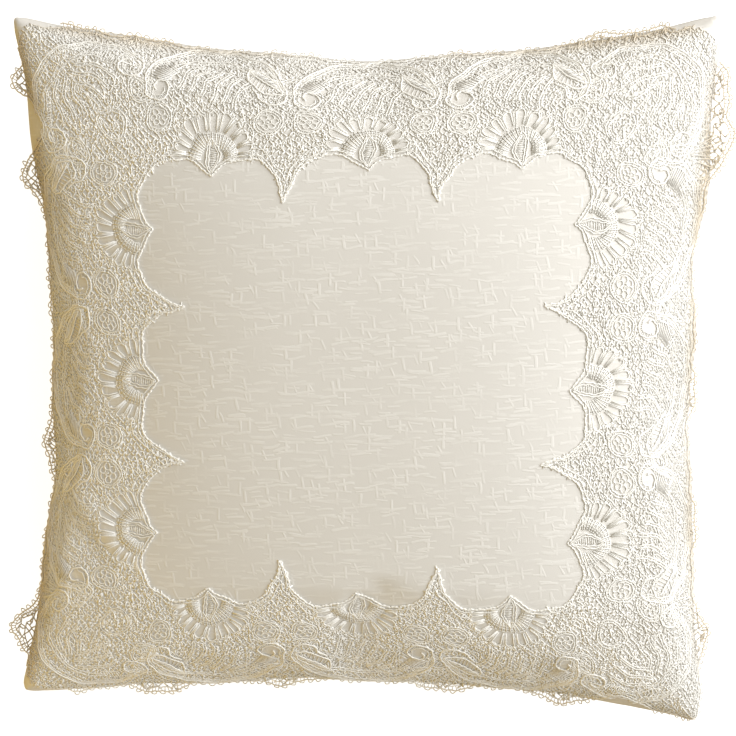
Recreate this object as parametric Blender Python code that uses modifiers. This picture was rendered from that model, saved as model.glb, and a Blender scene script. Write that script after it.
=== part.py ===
"""A square ring bearer pillow that lies on its back, with its front facing up.

A removable cover holds a separate insert. The cover has a satin front with a wide border of corded
lace in four mitred runs, and a back in two pieces that close with a coil zip near the lower edge.
The origin is the middle of the flat patch that the pillow rests on, +Z is up out of the front, and
the zip runs along X near the -Y edge. Lengths are in metres.

The cover is described by u and v, which run from -1 to 1 across its front as it lay flat.
"""

import math

import bmesh
import bpy
from mathutils import Vector

# Cover
COVER_HALF = 0.125
CLOTH_TAKE_UP = 0.007
SIDE_PULL = 0.011
FRONT_CROWN = 0.041
REST_SQUASH = 0.0025
FABRIC = 0.0005
SEAM_GAP = 0.0003
PANEL_GAP = 0.0006
CROWN_POWER = 2.5
CROWN_FALL = 0.6

# Insert
INSERT_SLACK = 0.012
INSERT_EASE = 0.0007
CASE_FABRIC = 0.0004
CASE_HEM = 0.001
FILLING_EASE = 0.0007

# Lace, measured on the cloth as it lay flat
FAN_PITCH = 0.0535
FANS_EACH_SIDE = 3
SHORT_TIP = 0.005
LONG_TIP = 0.014
CORNER_INSET = 0.004
TIP_SHARPNESS = 4.0
CORNER_SHARPNESS = 2.5
LACE_MARGIN = 0.0055
LACE_LOBE = 0.007
LACE_DROOP = 0.45
LACE_GAP = 0.0007
LACE_THICKNESS = 0.001
MITRE_GAP = 0.0005

# Zip, with z out of the cloth's outer face and y towards the lower edge of the pillow
ZIP_FROM_SEAM = 0.0177
ZIP_GAP = 0.0003
SLOT_SIDE_ROOM = 0.001
SLOT_END_ROOM = 0.0017
SLOT_TAPER = 0.007
TAPE_UNDERLAP = 0.005
TAPE_TAIL = 0.003
TAPE_THICKNESS = 0.0005
COIL_LENGTH = 0.124
COIL_WIDTH = 0.002
COIL_THICKNESS = 0.0016
STOP_LENGTH = 0.002
DIVIDER_WIDTH = 0.0008
DIVIDER_LENGTH = 0.0045
SLIDER_LENGTH = 0.011
SLIDER_PLATE = 0.0009
SLIDER_RUNNING = 0.0002
SLIDER_SIDE_ROOM = 0.0005
SLIDER_FLANGE = 0.0008
SLIDER_END_ROOM = 0.0005
BRIDGE_SPAN = 0.0052
BRIDGE_WIDTH = 0.002
BRIDGE_WALL = 0.001
PULL_LENGTH = 0.0145
PULL_THICKNESS = 0.0009
PULL_ARM = 0.001
PULL_GAP = 0.0003
PULL_CORNER = 0.0003

# Points along the surfaces
COVER_CELLS = 20
INSERT_CELLS = 14
BACK_ROWS = 13
HEM_ROWS = 4
LACE_CELLS = 44
LACE_ROWS = (0.0, 0.28, 0.52, 0.72, 0.88, 1.0)
STEP = 1e-4

# Values that follow from those above
FLAT_HALF = COVER_HALF + CLOTH_TAKE_UP
PULL_SHARE = SIDE_PULL / COVER_HALF
FLAT_SLACK = FLAT_HALF / COVER_HALF - 1
SEAM_HEIGHT = FRONT_CROWN - REST_SQUASH
COVER_LIFT = FABRIC + SEAM_GAP / 2
CASE_HALF = COVER_HALF - INSERT_SLACK
CASE_CROWN = FRONT_CROWN - FABRIC - INSERT_EASE
CASE_FLOOR = FABRIC + INSERT_EASE
CASE_LIFT = CASE_FABRIC + SEAM_GAP / 2
FILLING_HALF = CASE_HALF - CASE_HEM
FILLING_CROWN = CASE_CROWN - CASE_FABRIC - FILLING_EASE
FILLING_FLOOR = CASE_FLOOR + CASE_FABRIC + FILLING_EASE
WINDOW_HALF = FAN_PITCH * FANS_EACH_SIDE / 2
INNER_CORNER = WINDOW_HALF - CORNER_INSET
LACE_EDGE = FLAT_HALF - LACE_MARGIN
COIL_APART = DIVIDER_WIDTH + 2 * ZIP_GAP
COIL_MIDDLE = (COIL_APART + COIL_WIDTH) / 2
COIL_OUTER = COIL_APART / 2 + COIL_WIDTH
CHANNEL = COIL_THICKNESS + 2 * SLIDER_RUNNING
SLIDER_WIDTH = 2 * (COIL_OUTER + SLIDER_SIDE_ROOM + SLIDER_FLANGE)
SLIDER_HEIGHT = CHANNEL + 2 * SLIDER_PLATE
SLIDER_REST = COIL_LENGTH / 2 - SLIDER_LENGTH / 2 - SLIDER_END_ROOM
STOP_PLACE = COIL_LENGTH / 2 + ZIP_GAP + STOP_LENGTH / 2
SLOT_WIDTH = SLIDER_WIDTH + 2 * SLOT_SIDE_ROOM
SLOT_HALF_LENGTH = STOP_PLACE + STOP_LENGTH / 2 + SLOT_END_ROOM
TAPE_LENGTH = 2 * (SLOT_HALF_LENGTH + TAPE_TAIL)
TAPE_INNER = COIL_OUTER + ZIP_GAP
TAPE_REACH = SLOT_WIDTH / 2 + TAPE_UNDERLAP
TAPE_MIDDLE = -(FABRIC + ZIP_GAP + TAPE_THICKNESS / 2)
PULL_BAR_REACH = PULL_THICKNESS / math.sqrt(2)
BRIDGE_ROOM = 2 * (PULL_BAR_REACH + PULL_GAP)
HINGE_HEIGHT = TAPE_MIDDLE + SLIDER_HEIGHT / 2 + BRIDGE_ROOM / 2
PULL_EYE = PULL_GAP + math.hypot(BRIDGE_SPAN / 2 + BRIDGE_WALL, BRIDGE_ROOM / 2 + BRIDGE_WALL)

PARTS = "ring_bearer_pillow"
CUTTERS = "cutters"


def clear_scene():
    for thing in list(bpy.data.objects):
        bpy.data.objects.remove(thing)
    for name in (PARTS, CUTTERS):
        bpy.context.scene.collection.children.link(bpy.data.collections.new(name))


def material(name, colour, roughness, metallic=0.0):
    made = bpy.data.materials.new(name)
    made.use_nodes = True
    shader = made.node_tree.nodes["Principled BSDF"]
    shader.inputs["Base Color"].default_value = (*colour, 1.0)
    shader.inputs["Roughness"].default_value = roughness
    shader.inputs["Metallic"].default_value = metallic
    return made


def link_part(name, mesh, finish, parent=None, location=(0, 0, 0)):
    part = bpy.data.objects.new(name, mesh)
    part.data.materials.append(finish)
    part.parent = parent
    part.location = location
    bpy.data.collections[PARTS].objects.link(part)
    return part


# The cloth surfaces


def crown(t):
    """Height share across the pillow: 1 in the middle, and falling steeply to 0 at the edge."""
    return (1 - min(abs(t), 1) ** CROWN_POWER) ** CROWN_FALL


def inflated(u, v, half, height, lift):
    """A point of a stuffed square, above its seam plane: its sides are pulled in between its corners."""
    x = u * (1 + FLAT_SLACK * (1 - u * u))
    y = v * (1 + FLAT_SLACK * (1 - v * v))
    pulled_x = x * (1 - PULL_SHARE * (1 - y * y) * x * x)
    pulled_y = y * (1 - PULL_SHARE * (1 - x * x) * y * y)
    z = lift + (height - lift) * crown(u) * crown(v)
    return Vector((half * pulled_x, half * pulled_y, z))


def front(u, v, half=COVER_HALF, height=FRONT_CROWN, lift=COVER_LIFT):
    return inflated(u, v, half, height, lift) + Vector((0, 0, SEAM_HEIGHT))


def back(u, v, half=COVER_HALF, height=FRONT_CROWN, lift=COVER_LIFT, floor=0.0):
    """The front turned over, and pressed flat where it rests on the floor."""
    point = inflated(u, v, half, height, lift)
    return Vector((point.x, point.y, max(floor, SEAM_HEIGHT - point.z)))


def front_normal(u, v):
    along_u = front(min(u + STEP, 1), v) - front(max(u - STEP, -1), v)
    along_v = front(u, min(v + STEP, 1)) - front(u, max(v - STEP, -1))
    return along_u.cross(along_v).normalized()


def ramp(value, full, none):
    """1 up to full, 0 from none, and a smooth fall between them."""
    t = min(max((none - value) / (none - full), 0), 1)
    return t * t * (3 - 2 * t)


ZIP_V = ZIP_FROM_SEAM / FLAT_HALF - 1
ZIP_CENTRE = back(0, ZIP_V)
ZIP_ACROSS = (back(0, ZIP_V - STEP) - back(0, ZIP_V + STEP)) / (2 * STEP)
ZIP_SLOPE = math.atan2(ZIP_ACROSS.z, -ZIP_ACROSS.y)


def column_at(x):
    """The u whose column crosses the zip at this x."""
    low, high = 0.0, 1.0
    for _ in range(40):
        middle = (low + high) / 2
        low, high = (middle, high) if back(middle, ZIP_V).x < x else (low, middle)
    return low


SLOT_U = column_at(SLOT_HALF_LENGTH)
TAPER_U = column_at(SLOT_HALF_LENGTH + SLOT_TAPER)
FLAT_U = column_at(SLOT_HALF_LENGTH + 2 * SLOT_TAPER)
CLOTH_END_U = (FLAT_U + 1) / 2
TAPE_V = (TAPE_REACH + ZIP_GAP) / ZIP_ACROSS.length
TAPE_FADE_V = (1 + ZIP_V) * 0.95


def back_with_zip(u, v):
    """The back, with a flat straight band where the zip is sewn in."""
    point = back(u, v)
    share = ramp(abs(u), FLAT_U, CLOTH_END_U) * ramp(abs(v - ZIP_V), TAPE_V, TAPE_FADE_V)
    band = ZIP_CENTRE + (ZIP_V - v) * ZIP_ACROSS
    band.x = point.x
    return point.lerp(band, share)


def zip_edge(u):
    """Half the opening between the two back panels, as a share of v."""
    x = back(abs(u), ZIP_V).x
    open_share = ramp(x, SLOT_HALF_LENGTH, SLOT_HALF_LENGTH + SLOT_TAPER)
    width = PANEL_GAP + (SLOT_WIDTH - PANEL_GAP) * open_share
    return width / 2 / ZIP_ACROSS.length


def spread(count):
    """Places from -1 to 1, closer together towards the edges, where the cloth bends most."""
    for i in range(count + 1):
        t = 2 * i / count - 1
        yield 0.3 * t + 0.7 * math.sin(math.pi / 2 * t)


def add_grid(mesh, columns, rows, place):
    """Adds a grid whose points are place(column, row)."""
    columns, rows = list(columns), list(rows)
    made = bmesh.ops.create_grid(
        mesh, x_segments=len(columns) - 1, y_segments=len(rows) - 1, size=1
    )
    for vert in made["verts"]:
        i = round((vert.co.x + 1) / 2 * (len(columns) - 1))
        j = round((vert.co.y + 1) / 2 * (len(rows) - 1))
        vert.co = place(columns[i], rows[j])
    return made["verts"]


def face_up(mesh, upwards=True):
    """Turns every face of an open sheet the same way, out of the front or out of the back."""
    bmesh.ops.recalc_face_normals(mesh, faces=mesh.faces)
    total = sum(face.normal.z * face.calc_area() for face in mesh.faces)
    if (total > 0) != upwards:
        bmesh.ops.reverse_faces(mesh, faces=mesh.faces)


def sheet_mesh(name, columns, rows, place, upwards=True):
    mesh = bmesh.new()
    add_grid(mesh, columns, rows, place)
    face_up(mesh, upwards)
    data = bpy.data.meshes.new(name)
    mesh.to_mesh(data)
    mesh.free()
    data.shade_smooth()
    return data


def thicken(part, thickness, outward=False):
    solid = part.modifiers.new("Thickness", "SOLIDIFY")
    solid.thickness = thickness
    solid.offset = 1 if outward else -1
    return part


# The cover and the insert


def make_front_panel(finish):
    mesh = sheet_mesh("front_panel", spread(COVER_CELLS), spread(COVER_CELLS), front)
    thicken(link_part("front_panel", mesh, finish), FABRIC)


def back_columns():
    """Columns of the back panels, with some at the ends of the zip's slot and of its taper."""
    inside = [SLOT_U * i / 4 for i in range(5)]
    outside = [FLAT_U + (1 - FLAT_U) * math.sin(math.pi / 2 * i / 5) for i in range(6)]
    right = inside + [(SLOT_U + TAPER_U) / 2, TAPER_U] + outside
    return [-u for u in reversed(right[1:])] + right


def panel_point(u, t, way):
    """A point of the back on one side of the zip: t is 0 at the slot, 1 at the end of the flat band,
    and 2 at the seam that way."""
    edge = ZIP_V + way * zip_edge(u)
    band = ZIP_V + way * TAPE_V
    if t <= 1:
        return back_with_zip(u, edge + (band - edge) * t)
    return back_with_zip(u, band + (way - band) * (t - 1))


def panel_rows(count):
    """Rows of a back panel, closer together at the zip and at the seam, where the cloth bends."""
    curved = [0.4 * i / count + 0.3 * (1 - math.cos(math.pi * i / count)) for i in range(count + 1)]
    return [0] + [1 + t for t in curved]


def make_back_panels(finish):
    """Two panels, whose rows start at the zip's slot, so that its edges are straight."""
    for name, way, count in (
        ("back_panel_upper", 1, BACK_ROWS),
        ("back_panel_lower", -1, HEM_ROWS),
    ):

        def place(u, t, way=way):
            return panel_point(u, t, way)

        mesh = sheet_mesh(name, back_columns(), panel_rows(count), place, upwards=False)
        thicken(link_part(name, mesh, finish), FABRIC)


def make_insert(case_finish, filling_finish):
    def case_front(u, v):
        return front(u, v, CASE_HALF, CASE_CROWN, CASE_LIFT)

    def case_back(u, v):
        return back(u, v, CASE_HALF, CASE_CROWN, CASE_LIFT, CASE_FLOOR)

    for name, place, upwards in (
        ("insert_case_front", case_front, True),
        ("insert_case_back", case_back, False),
    ):
        mesh = sheet_mesh(name, spread(INSERT_CELLS), spread(INSERT_CELLS), place, upwards)
        thicken(link_part(name, mesh, case_finish), CASE_FABRIC)

    def filling_front(u, v):
        return front(u, v, FILLING_HALF, FILLING_CROWN, 0)

    def filling_back(u, v):
        return back(u, v, FILLING_HALF, FILLING_CROWN, 0, FILLING_FLOOR)

    mesh = bmesh.new()
    for place in (filling_front, filling_back):
        add_grid(mesh, spread(INSERT_CELLS), spread(INSERT_CELLS), place)
    bmesh.ops.remove_doubles(mesh, verts=mesh.verts, dist=STEP / 10)
    bmesh.ops.recalc_face_normals(mesh, faces=mesh.faces)
    data = bpy.data.meshes.new("insert_filling")
    mesh.to_mesh(data)
    mesh.free()
    data.shade_smooth()
    link_part("insert_filling", data, filling_finish)


# The lace border


def inner_edge(along):
    """How far from the middle of the cloth the lace begins. Scallops meet in a short tip at each fan
    and a long tip half way between fans, and round the corner beyond the last fan."""
    phase = abs(along) / (FAN_PITCH / 2)
    to_fan = abs(phase - 2 * round(phase / 2))
    last_fan = FAN_PITCH * (FANS_EACH_SIDE - 1) / 2
    edge = WINDOW_HALF - SHORT_TIP * (1 - to_fan) ** TIP_SHARPNESS
    if abs(along) < last_fan:
        return edge - LONG_TIP * to_fan**TIP_SHARPNESS
    beyond = min((abs(along) - last_fan) / (INNER_CORNER - last_fan), 1)
    return edge - CORNER_INSET * beyond**CORNER_SHARPNESS


def outer_lobe(along):
    """How far the outer edge stands out: a lobe half way between fans."""
    phase = abs(along) / (FAN_PITCH / 2)
    if phase > FANS_EACH_SIDE + 1:
        return 0.0
    return LACE_LOBE * (0.5 - 0.5 * math.cos(math.pi * phase)) ** 2


def lace_point(side, share):
    """A point of the upper run of lace. side runs from mitre to mitre, and share from the inner edge
    to the outer one. Past the cover's edge the lace leaves the cloth and droops a little."""
    middle = INNER_CORNER + (LACE_EDGE - INNER_CORNER) * share
    along = side * (middle - MITRE_GAP / 2)
    scallop = 0.0 if abs(along) >= INNER_CORNER else inner_edge(along) - INNER_CORNER
    rounded = scallop * (1 - side**8)
    out = middle + (1 - share) * rounded
    over = outer_lobe(along) * share**3
    u, v = along / FLAT_HALF, out / FLAT_HALF
    point = front(u, v) + LACE_GAP * front_normal(u, v)
    return point + over * Vector((0, 1, -LACE_DROOP * crown(u))).normalized()


def make_lace(finish):
    """Four runs of one shape, a quarter turn apart."""
    sides = [2 * i / LACE_CELLS - 1 for i in range(LACE_CELLS + 1)]
    mesh = sheet_mesh("lace_run", sides, LACE_ROWS, lace_point)
    for turn, name in enumerate(("lace_top", "lace_left", "lace_bottom", "lace_right")):
        run = link_part(name, mesh if turn == 0 else mesh.copy(), finish)
        run.rotation_euler.z = turn * math.pi / 2
        thicken(run, LACE_THICKNESS, outward=True)


# The zip


def make_zip_line():
    """An empty in the zip's middle, on the cloth's outer face, with its z out of the cloth."""
    line = bpy.data.objects.new("zip_line", None)
    line.location = ZIP_CENTRE
    line.rotation_euler.x = math.pi - ZIP_SLOPE
    line.empty_display_size = COIL_LENGTH / 2
    bpy.data.collections[PARTS].objects.link(line)
    return line


def box_mesh(name, low, high, bevel=0.0, edges_along=None):
    """A box between two corners. bevel rounds every edge, or those along one axis only."""
    low, high = Vector(low), Vector(high)
    mesh = bmesh.new()
    bmesh.ops.create_cube(mesh, size=1)
    for vert in mesh.verts:
        vert.co = (low + high) / 2 + vert.co * (high - low)
    if bevel:
        edges = [
            edge
            for edge in mesh.edges
            if edges_along is None
            or abs(edge.verts[0].co[edges_along] - edge.verts[1].co[edges_along]) > STEP
        ]
        bmesh.ops.bevel(mesh, geom=edges, offset=bevel, segments=1, affect="EDGES")
    data = bpy.data.meshes.new(name)
    mesh.to_mesh(data)
    mesh.free()
    return data


def make_cutter(name, low, high, parent):
    cutter = bpy.data.objects.new(name, box_mesh(name, low, high))
    cutter.parent = parent
    cutter.hide_render = True
    cutter.display_type = "WIRE"
    bpy.data.collections[CUTTERS].objects.link(cutter)
    return cutter


def combine(part, other, operation):
    step = part.modifiers.new(other.name, "BOOLEAN")
    step.operation = operation
    step.object = other


def make_tapes(line, finish):
    half = TAPE_THICKNESS / 2
    for name, way in (("zip_tape_upper", -1), ("zip_tape_lower", 1)):
        edges = sorted((way * TAPE_INNER, way * TAPE_REACH))
        mesh = box_mesh(
            name, (-TAPE_LENGTH / 2, edges[0], -half), (TAPE_LENGTH / 2, edges[1], half)
        )
        link_part(name, mesh, finish, line, (0, 0, TAPE_MIDDLE))


def make_coils(line, finish):
    """The outer shape of each row of the coil, on the edge of its tape."""
    for name, way in (("zip_coil_upper", -1), ("zip_coil_lower", 1)):
        half = Vector((COIL_LENGTH, COIL_WIDTH, COIL_THICKNESS)) / 2
        mesh = box_mesh(name, -half, half, COIL_THICKNESS / 5, edges_along=0)
        link_part(name, mesh, finish, line, (0, way * COIL_MIDDLE, TAPE_MIDDLE))


def make_stops(line, finish):
    """A stop on each row at the closed end, and one across both at the other end."""
    half = Vector((STOP_LENGTH, COIL_WIDTH, COIL_THICKNESS)) / 2
    for name, way in (("zip_stop_top_upper", -1), ("zip_stop_top_lower", 1)):
        mesh = box_mesh(name, -half, half, COIL_THICKNESS / 6)
        link_part(name, mesh, finish, line, (STOP_PLACE, way * COIL_MIDDLE, TAPE_MIDDLE))
    half.y = COIL_OUTER
    mesh = box_mesh("zip_stop_bottom", -half, half, COIL_THICKNESS / 6)
    link_part("zip_stop_bottom", mesh, finish, line, (-STOP_PLACE, 0, TAPE_MIDDLE))


def make_slider(line, finish):
    """Two plates, joined only by the divider between the rows, with flanges beside the rows."""
    half = Vector((SLIDER_LENGTH, SLIDER_WIDTH, SLIDER_HEIGHT)) / 2
    mesh = box_mesh("zip_slider", -half, half, SLIDER_PLATE, edges_along=2)
    slider = link_part("zip_slider", mesh, finish, line, (SLIDER_REST, 0, TAPE_MIDDLE))
    wall = half.y - SLIDER_FLANGE
    behind = half.x - DIVIDER_LENGTH
    reach = SLIDER_LENGTH
    rows = CHANNEL / 2
    slit = TAPE_THICKNESS / 2 + ZIP_GAP
    divider = DIVIDER_WIDTH / 2
    cuts = {
        "joined_rows": ((-reach, -wall, -rows), (behind, wall, rows)),
        "upper_row": ((behind - STEP, -wall, -rows), (reach, -divider, rows)),
        "lower_row": ((behind - STEP, divider, -rows), (reach, wall, rows)),
        "upper_slit": ((-reach, -reach, -slit), (reach, -wall + STEP, slit)),
        "lower_slit": ((-reach, wall - STEP, -slit), (reach, reach, slit)),
    }
    for name, (low, high) in cuts.items():
        combine(slider, make_cutter(name, low, high, slider), "DIFFERENCE")
    span = BRIDGE_SPAN / 2
    top = half.z + BRIDGE_ROOM + BRIDGE_WALL
    bridge = make_cutter(
        "bridge",
        (-span - BRIDGE_WALL, -BRIDGE_WIDTH / 2, half.z - SLIDER_PLATE / 2),
        (span + BRIDGE_WALL, BRIDGE_WIDTH / 2, top),
        slider,
    )
    room = make_cutter(
        "bridge_room", (-span, -BRIDGE_WIDTH, half.z), (span, BRIDGE_WIDTH, top - BRIDGE_WALL), slider
    )
    combine(slider, bridge, "UNION")
    combine(slider, room, "DIFFERENCE")


def make_pull(line, finish):
    """A tab that hangs from a bar under the slider's bridge, with the bridge through its eye."""
    bar = PULL_THICKNESS / 2
    inner = BRIDGE_WIDTH / 2 + PULL_GAP
    outer = inner + PULL_ARM
    mesh = box_mesh(
        "zip_pull", (-bar, -outer, -bar), (bar, outer, PULL_LENGTH), PULL_CORNER, edges_along=0
    )
    pull = link_part("zip_pull", mesh, finish, line, (SLIDER_REST, 0, HINGE_HEIGHT))
    eye = make_cutter("pull_eye", (-2 * bar, -inner, bar), (2 * bar, inner, PULL_EYE), pull)
    combine(pull, eye, "DIFFERENCE")


def make_zip(tape_finish, coil_finish, metal_finish):
    line = make_zip_line()
    make_tapes(line, tape_finish)
    make_coils(line, coil_finish)
    make_stops(line, metal_finish)
    make_slider(line, metal_finish)
    make_pull(line, metal_finish)


def main():
    clear_scene()
    satin = material("ivory_satin", (0.84, 0.80, 0.71), 0.42)
    make_front_panel(satin)
    make_back_panels(material("ivory_backing", (0.82, 0.78, 0.69), 0.5))
    make_insert(
        material("case_cotton", (0.86, 0.85, 0.82), 0.8),
        material("polyester_wadding", (0.92, 0.92, 0.91), 0.95),
    )
    make_lace(material("ivory_lace", (0.86, 0.82, 0.72), 0.6))
    make_zip(
        material("zip_tape_cloth", (0.82, 0.78, 0.68), 0.75),
        material("zip_coil_nylon", (0.84, 0.80, 0.71), 0.35),
        material("zip_metal", (0.78, 0.74, 0.66), 0.3, 1.0),
    )


main()
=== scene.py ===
"""The looks of a lace-edged ring bearer pillow: its stuffed cover, corded lace border and rear zip.

Every surface is an array worked out from the cover's own two directions, u and v, which run from -1
to 1 across the cloth as it lay flat. Lengths in the lace pattern are millimetres on that flat cloth.
"""

import math

import bpy
import numpy as np
from mathutils import Matrix, Vector


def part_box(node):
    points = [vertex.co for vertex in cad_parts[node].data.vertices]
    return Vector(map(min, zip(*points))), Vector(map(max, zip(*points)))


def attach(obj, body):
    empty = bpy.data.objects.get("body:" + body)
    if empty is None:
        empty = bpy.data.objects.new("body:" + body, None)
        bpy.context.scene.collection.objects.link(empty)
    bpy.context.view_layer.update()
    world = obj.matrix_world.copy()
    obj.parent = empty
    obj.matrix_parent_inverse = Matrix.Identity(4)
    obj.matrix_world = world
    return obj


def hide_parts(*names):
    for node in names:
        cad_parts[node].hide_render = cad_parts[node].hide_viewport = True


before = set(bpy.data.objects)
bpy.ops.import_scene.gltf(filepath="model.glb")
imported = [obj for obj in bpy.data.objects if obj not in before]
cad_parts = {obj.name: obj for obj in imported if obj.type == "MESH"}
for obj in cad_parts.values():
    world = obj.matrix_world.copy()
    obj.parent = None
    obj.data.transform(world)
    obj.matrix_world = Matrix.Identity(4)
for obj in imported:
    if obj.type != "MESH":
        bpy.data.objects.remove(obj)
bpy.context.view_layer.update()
RNG = np.random.default_rng(7)
MM = 0.001

# The cover's own sizes, as its CAD solids have them
FRONT_LOW, FRONT_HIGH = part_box("front_panel")
BACK_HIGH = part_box("back_panel_upper")[1]
COVER_HALF = FRONT_HIGH.x
SEAM_HEIGHT = (FRONT_LOW.z + BACK_HIGH.z) / 2
CROWN = FRONT_HIGH.z - SEAM_HEIGHT
CLOTH_TAKE_UP = 0.007
FLAT_HALF = COVER_HALF + CLOTH_TAKE_UP
SIDE_PULL = 0.011
FABRIC = 0.0005
COVER_LIFT = 0.00006
CROWN_POWER = 2.5
CROWN_FALL = 0.6
FLAT_SLACK = FLAT_HALF / COVER_HALF - 1
PULL_SHARE = SIDE_PULL / COVER_HALF

# The lace pattern, in millimetres on the flat cloth
PITCH = 53.5
WINDOW = 1.5 * PITCH
BULGE = 2.6
SHORT_TIP = 5.0
LONG_TIP = 15.5
CORNER_INSET = 4.0
LACE_EDGE = FLAT_HALF / MM - 1.9
BORDER = LACE_EDGE - WINDOW

# Where the lace leaves the cloth and runs straight on, and how far each of its corners reaches, cut
# round from the point CORNER_FROM on both axes: the corner's side in x and in y, and its reach
TURN = 130.6
CORNER_FROM = 112.0
CORNER_REACH = ((-1, 1, 19.0), (1, 1, 17.5), (-1, -1, 18.5), (1, -1, 26.0))


# ---------------------------------------------------------------- the cloth's shape


def crown(t):
    """Height share (1 - |t|^p)^q: 1 in the middle, falling steeply to 0 at the edge."""
    return (1 - np.minimum(np.abs(t), 1) ** CROWN_POWER) ** CROWN_FALL


def inflated(u, v, half=COVER_HALF, height=CROWN, lift=COVER_LIFT):
    """A stuffed square over its seam plane. The flat cloth's t becomes t * (1 + slack * (1 - t^2)) in both
    directions, x is half * u * (1 - pull * (1 - v^2) * u^2), and y the same for v, under a crown that is
    the product of the two crowns."""
    x = u * (1 + FLAT_SLACK * (1 - u * u))
    y = v * (1 + FLAT_SLACK * (1 - v * v))
    px = half * x * (1 - PULL_SHARE * (1 - y * y) * x * x)
    py = half * y * (1 - PULL_SHARE * (1 - x * x) * y * y)
    return np.stack([px, py, lift + (height - lift) * crown(u) * crown(v)], -1)


def front(u, v, *sizes):
    """The stuffed square, raised to the height of the seam."""
    return inflated(u, v, *sizes) + (0, 0, SEAM_HEIGHT)


def back(u, v, *sizes, floor=0.0):
    """The front turned over, and pressed flat where it rests."""
    points = inflated(u, v, *sizes)
    points[..., 2] = np.maximum(floor, SEAM_HEIGHT - points[..., 2])
    return points


def spread(count, pull=0.7):
    """Places from -1 to 1, closer together towards the edges, where the cloth bends most."""
    t = np.linspace(-1, 1, count)
    return (1 - pull) * t + pull * np.sin(np.pi / 2 * t)


def smooth_step(low, high, value):
    """0 below low and 1 above high, with t^2 (3 - 2t) between them."""
    t = np.clip((value - low) / (high - low), 0, 1)
    return t * t * (3 - 2 * t)


# ---------------------------------------------------------------- meshes from arrays


def mesh_object(name, points, quads, triangles=None):
    """A mesh of quads, and of triangles where given, from whole arrays, shaded smooth."""
    points = np.asarray(points, np.float32).reshape(-1, 3)
    quads = np.asarray(quads, np.int32).reshape(-1, 4)
    triangles = np.zeros((0, 3), np.int32) if triangles is None else np.asarray(triangles, np.int32)
    corners = np.concatenate([quads.ravel(), triangles.ravel()])
    starts = [np.arange(len(quads)) * 4, quads.size + np.arange(len(triangles)) * 3]
    mesh = bpy.data.meshes.new(name)
    mesh.vertices.add(len(points))
    mesh.vertices.foreach_set("co", points.ravel())
    mesh.loops.add(len(corners))
    mesh.loops.foreach_set("vertex_index", corners)
    mesh.polygons.add(len(quads) + len(triangles))
    mesh.polygons.foreach_set("loop_start", np.concatenate(starts).astype(np.int32))
    mesh.update(calc_edges=True)
    mesh.validate()
    mesh.shade_smooth()
    made = bpy.data.objects.new(name, mesh)
    bpy.context.scene.collection.objects.link(made)
    return made


def grid_quads(rows, columns, wrap=False):
    """Corner numbers of the quads of a grid of points that is stored row by row."""
    i = np.arange(rows - 1)[:, None]
    j = np.arange(columns if wrap else columns - 1)[None, :]
    k = (j + 1) % columns
    a, b = i * columns + j, i * columns + k
    return np.stack([a, b, b + columns, a + columns], -1).reshape(-1, 4)


def thick_grid(points, normals, thickness):
    """A grid surface and its copy, thickness lower along the normals, closed round the rim."""
    rows, columns = points.shape[:2]
    outer = grid_quads(rows, columns)
    inner = outer[:, ::-1] + rows * columns
    numbers = np.arange(rows * columns).reshape(rows, columns)
    rim = np.concatenate(
        [numbers[0, :-1], numbers[:-1, -1], numbers[-1, :0:-1], numbers[:0:-1, 0]]
    )
    after = np.roll(rim, -1)
    sides = np.stack([after, rim, rim + rows * columns, after + rows * columns], -1)
    both = np.concatenate([points.reshape(-1, 3), (points - thickness * normals).reshape(-1, 3)])
    return both, np.concatenate([outer, inner, sides])


def bag_numbers(count):
    """Point numbers of two square grids that share their rim: the top's and the underside's, and
    where the rim is."""
    numbers = np.arange(count * count).reshape(count, count)
    rim = np.zeros((count, count), bool)
    rim[0], rim[-1], rim[:, 0], rim[:, -1] = True, True, True, True
    under = np.where(rim, numbers, 0)
    under[~rim] = count * count + np.arange((~rim).sum())
    return numbers, under, rim


def bag_quads(under):
    """The quads of such a closed bag, with the underside's turned over."""
    quads = grid_quads(*under.shape)
    return np.concatenate([quads, under.ravel()[quads][:, ::-1]])


def read_between(field, places, u, v):
    """A field on a square grid of places, read between its points by bilinear weights."""
    steps = np.arange(len(places))
    gu, gv = np.interp(u, places, steps), np.interp(v, places, steps)
    i = np.minimum(gv.astype(int), len(places) - 2)
    j = np.minimum(gu.astype(int), len(places) - 2)
    fv, fu = (gv - i)[..., None], (gu - j)[..., None]
    low = field[i, j] * (1 - fu) + field[i, j + 1] * fu
    high = field[i + 1, j] * (1 - fu) + field[i + 1, j + 1] * fu
    return low * (1 - fv) + high * fv


def grid_normals(points):
    """Unit normals of a grid surface, from its differences along both directions."""
    across = np.gradient(points, axis=1)
    along = np.gradient(points, axis=0)
    normals = np.cross(across, along)
    length = np.linalg.norm(normals, axis=-1, keepdims=True)
    return normals / np.maximum(length, 1e-12)


# ---------------------------------------------------------------- the cover, settled by simulation

SIM_CELLS = 57
SIM_FRAMES = 20
SIM_REACH = 0.008
SIM_BLUR = 9
# The band of the back that the zip holds flat, as shares of v and u
HELD_MIDDLE = -0.86
HELD_HALF = 0.12
HELD_ALONG = 0.8


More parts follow.
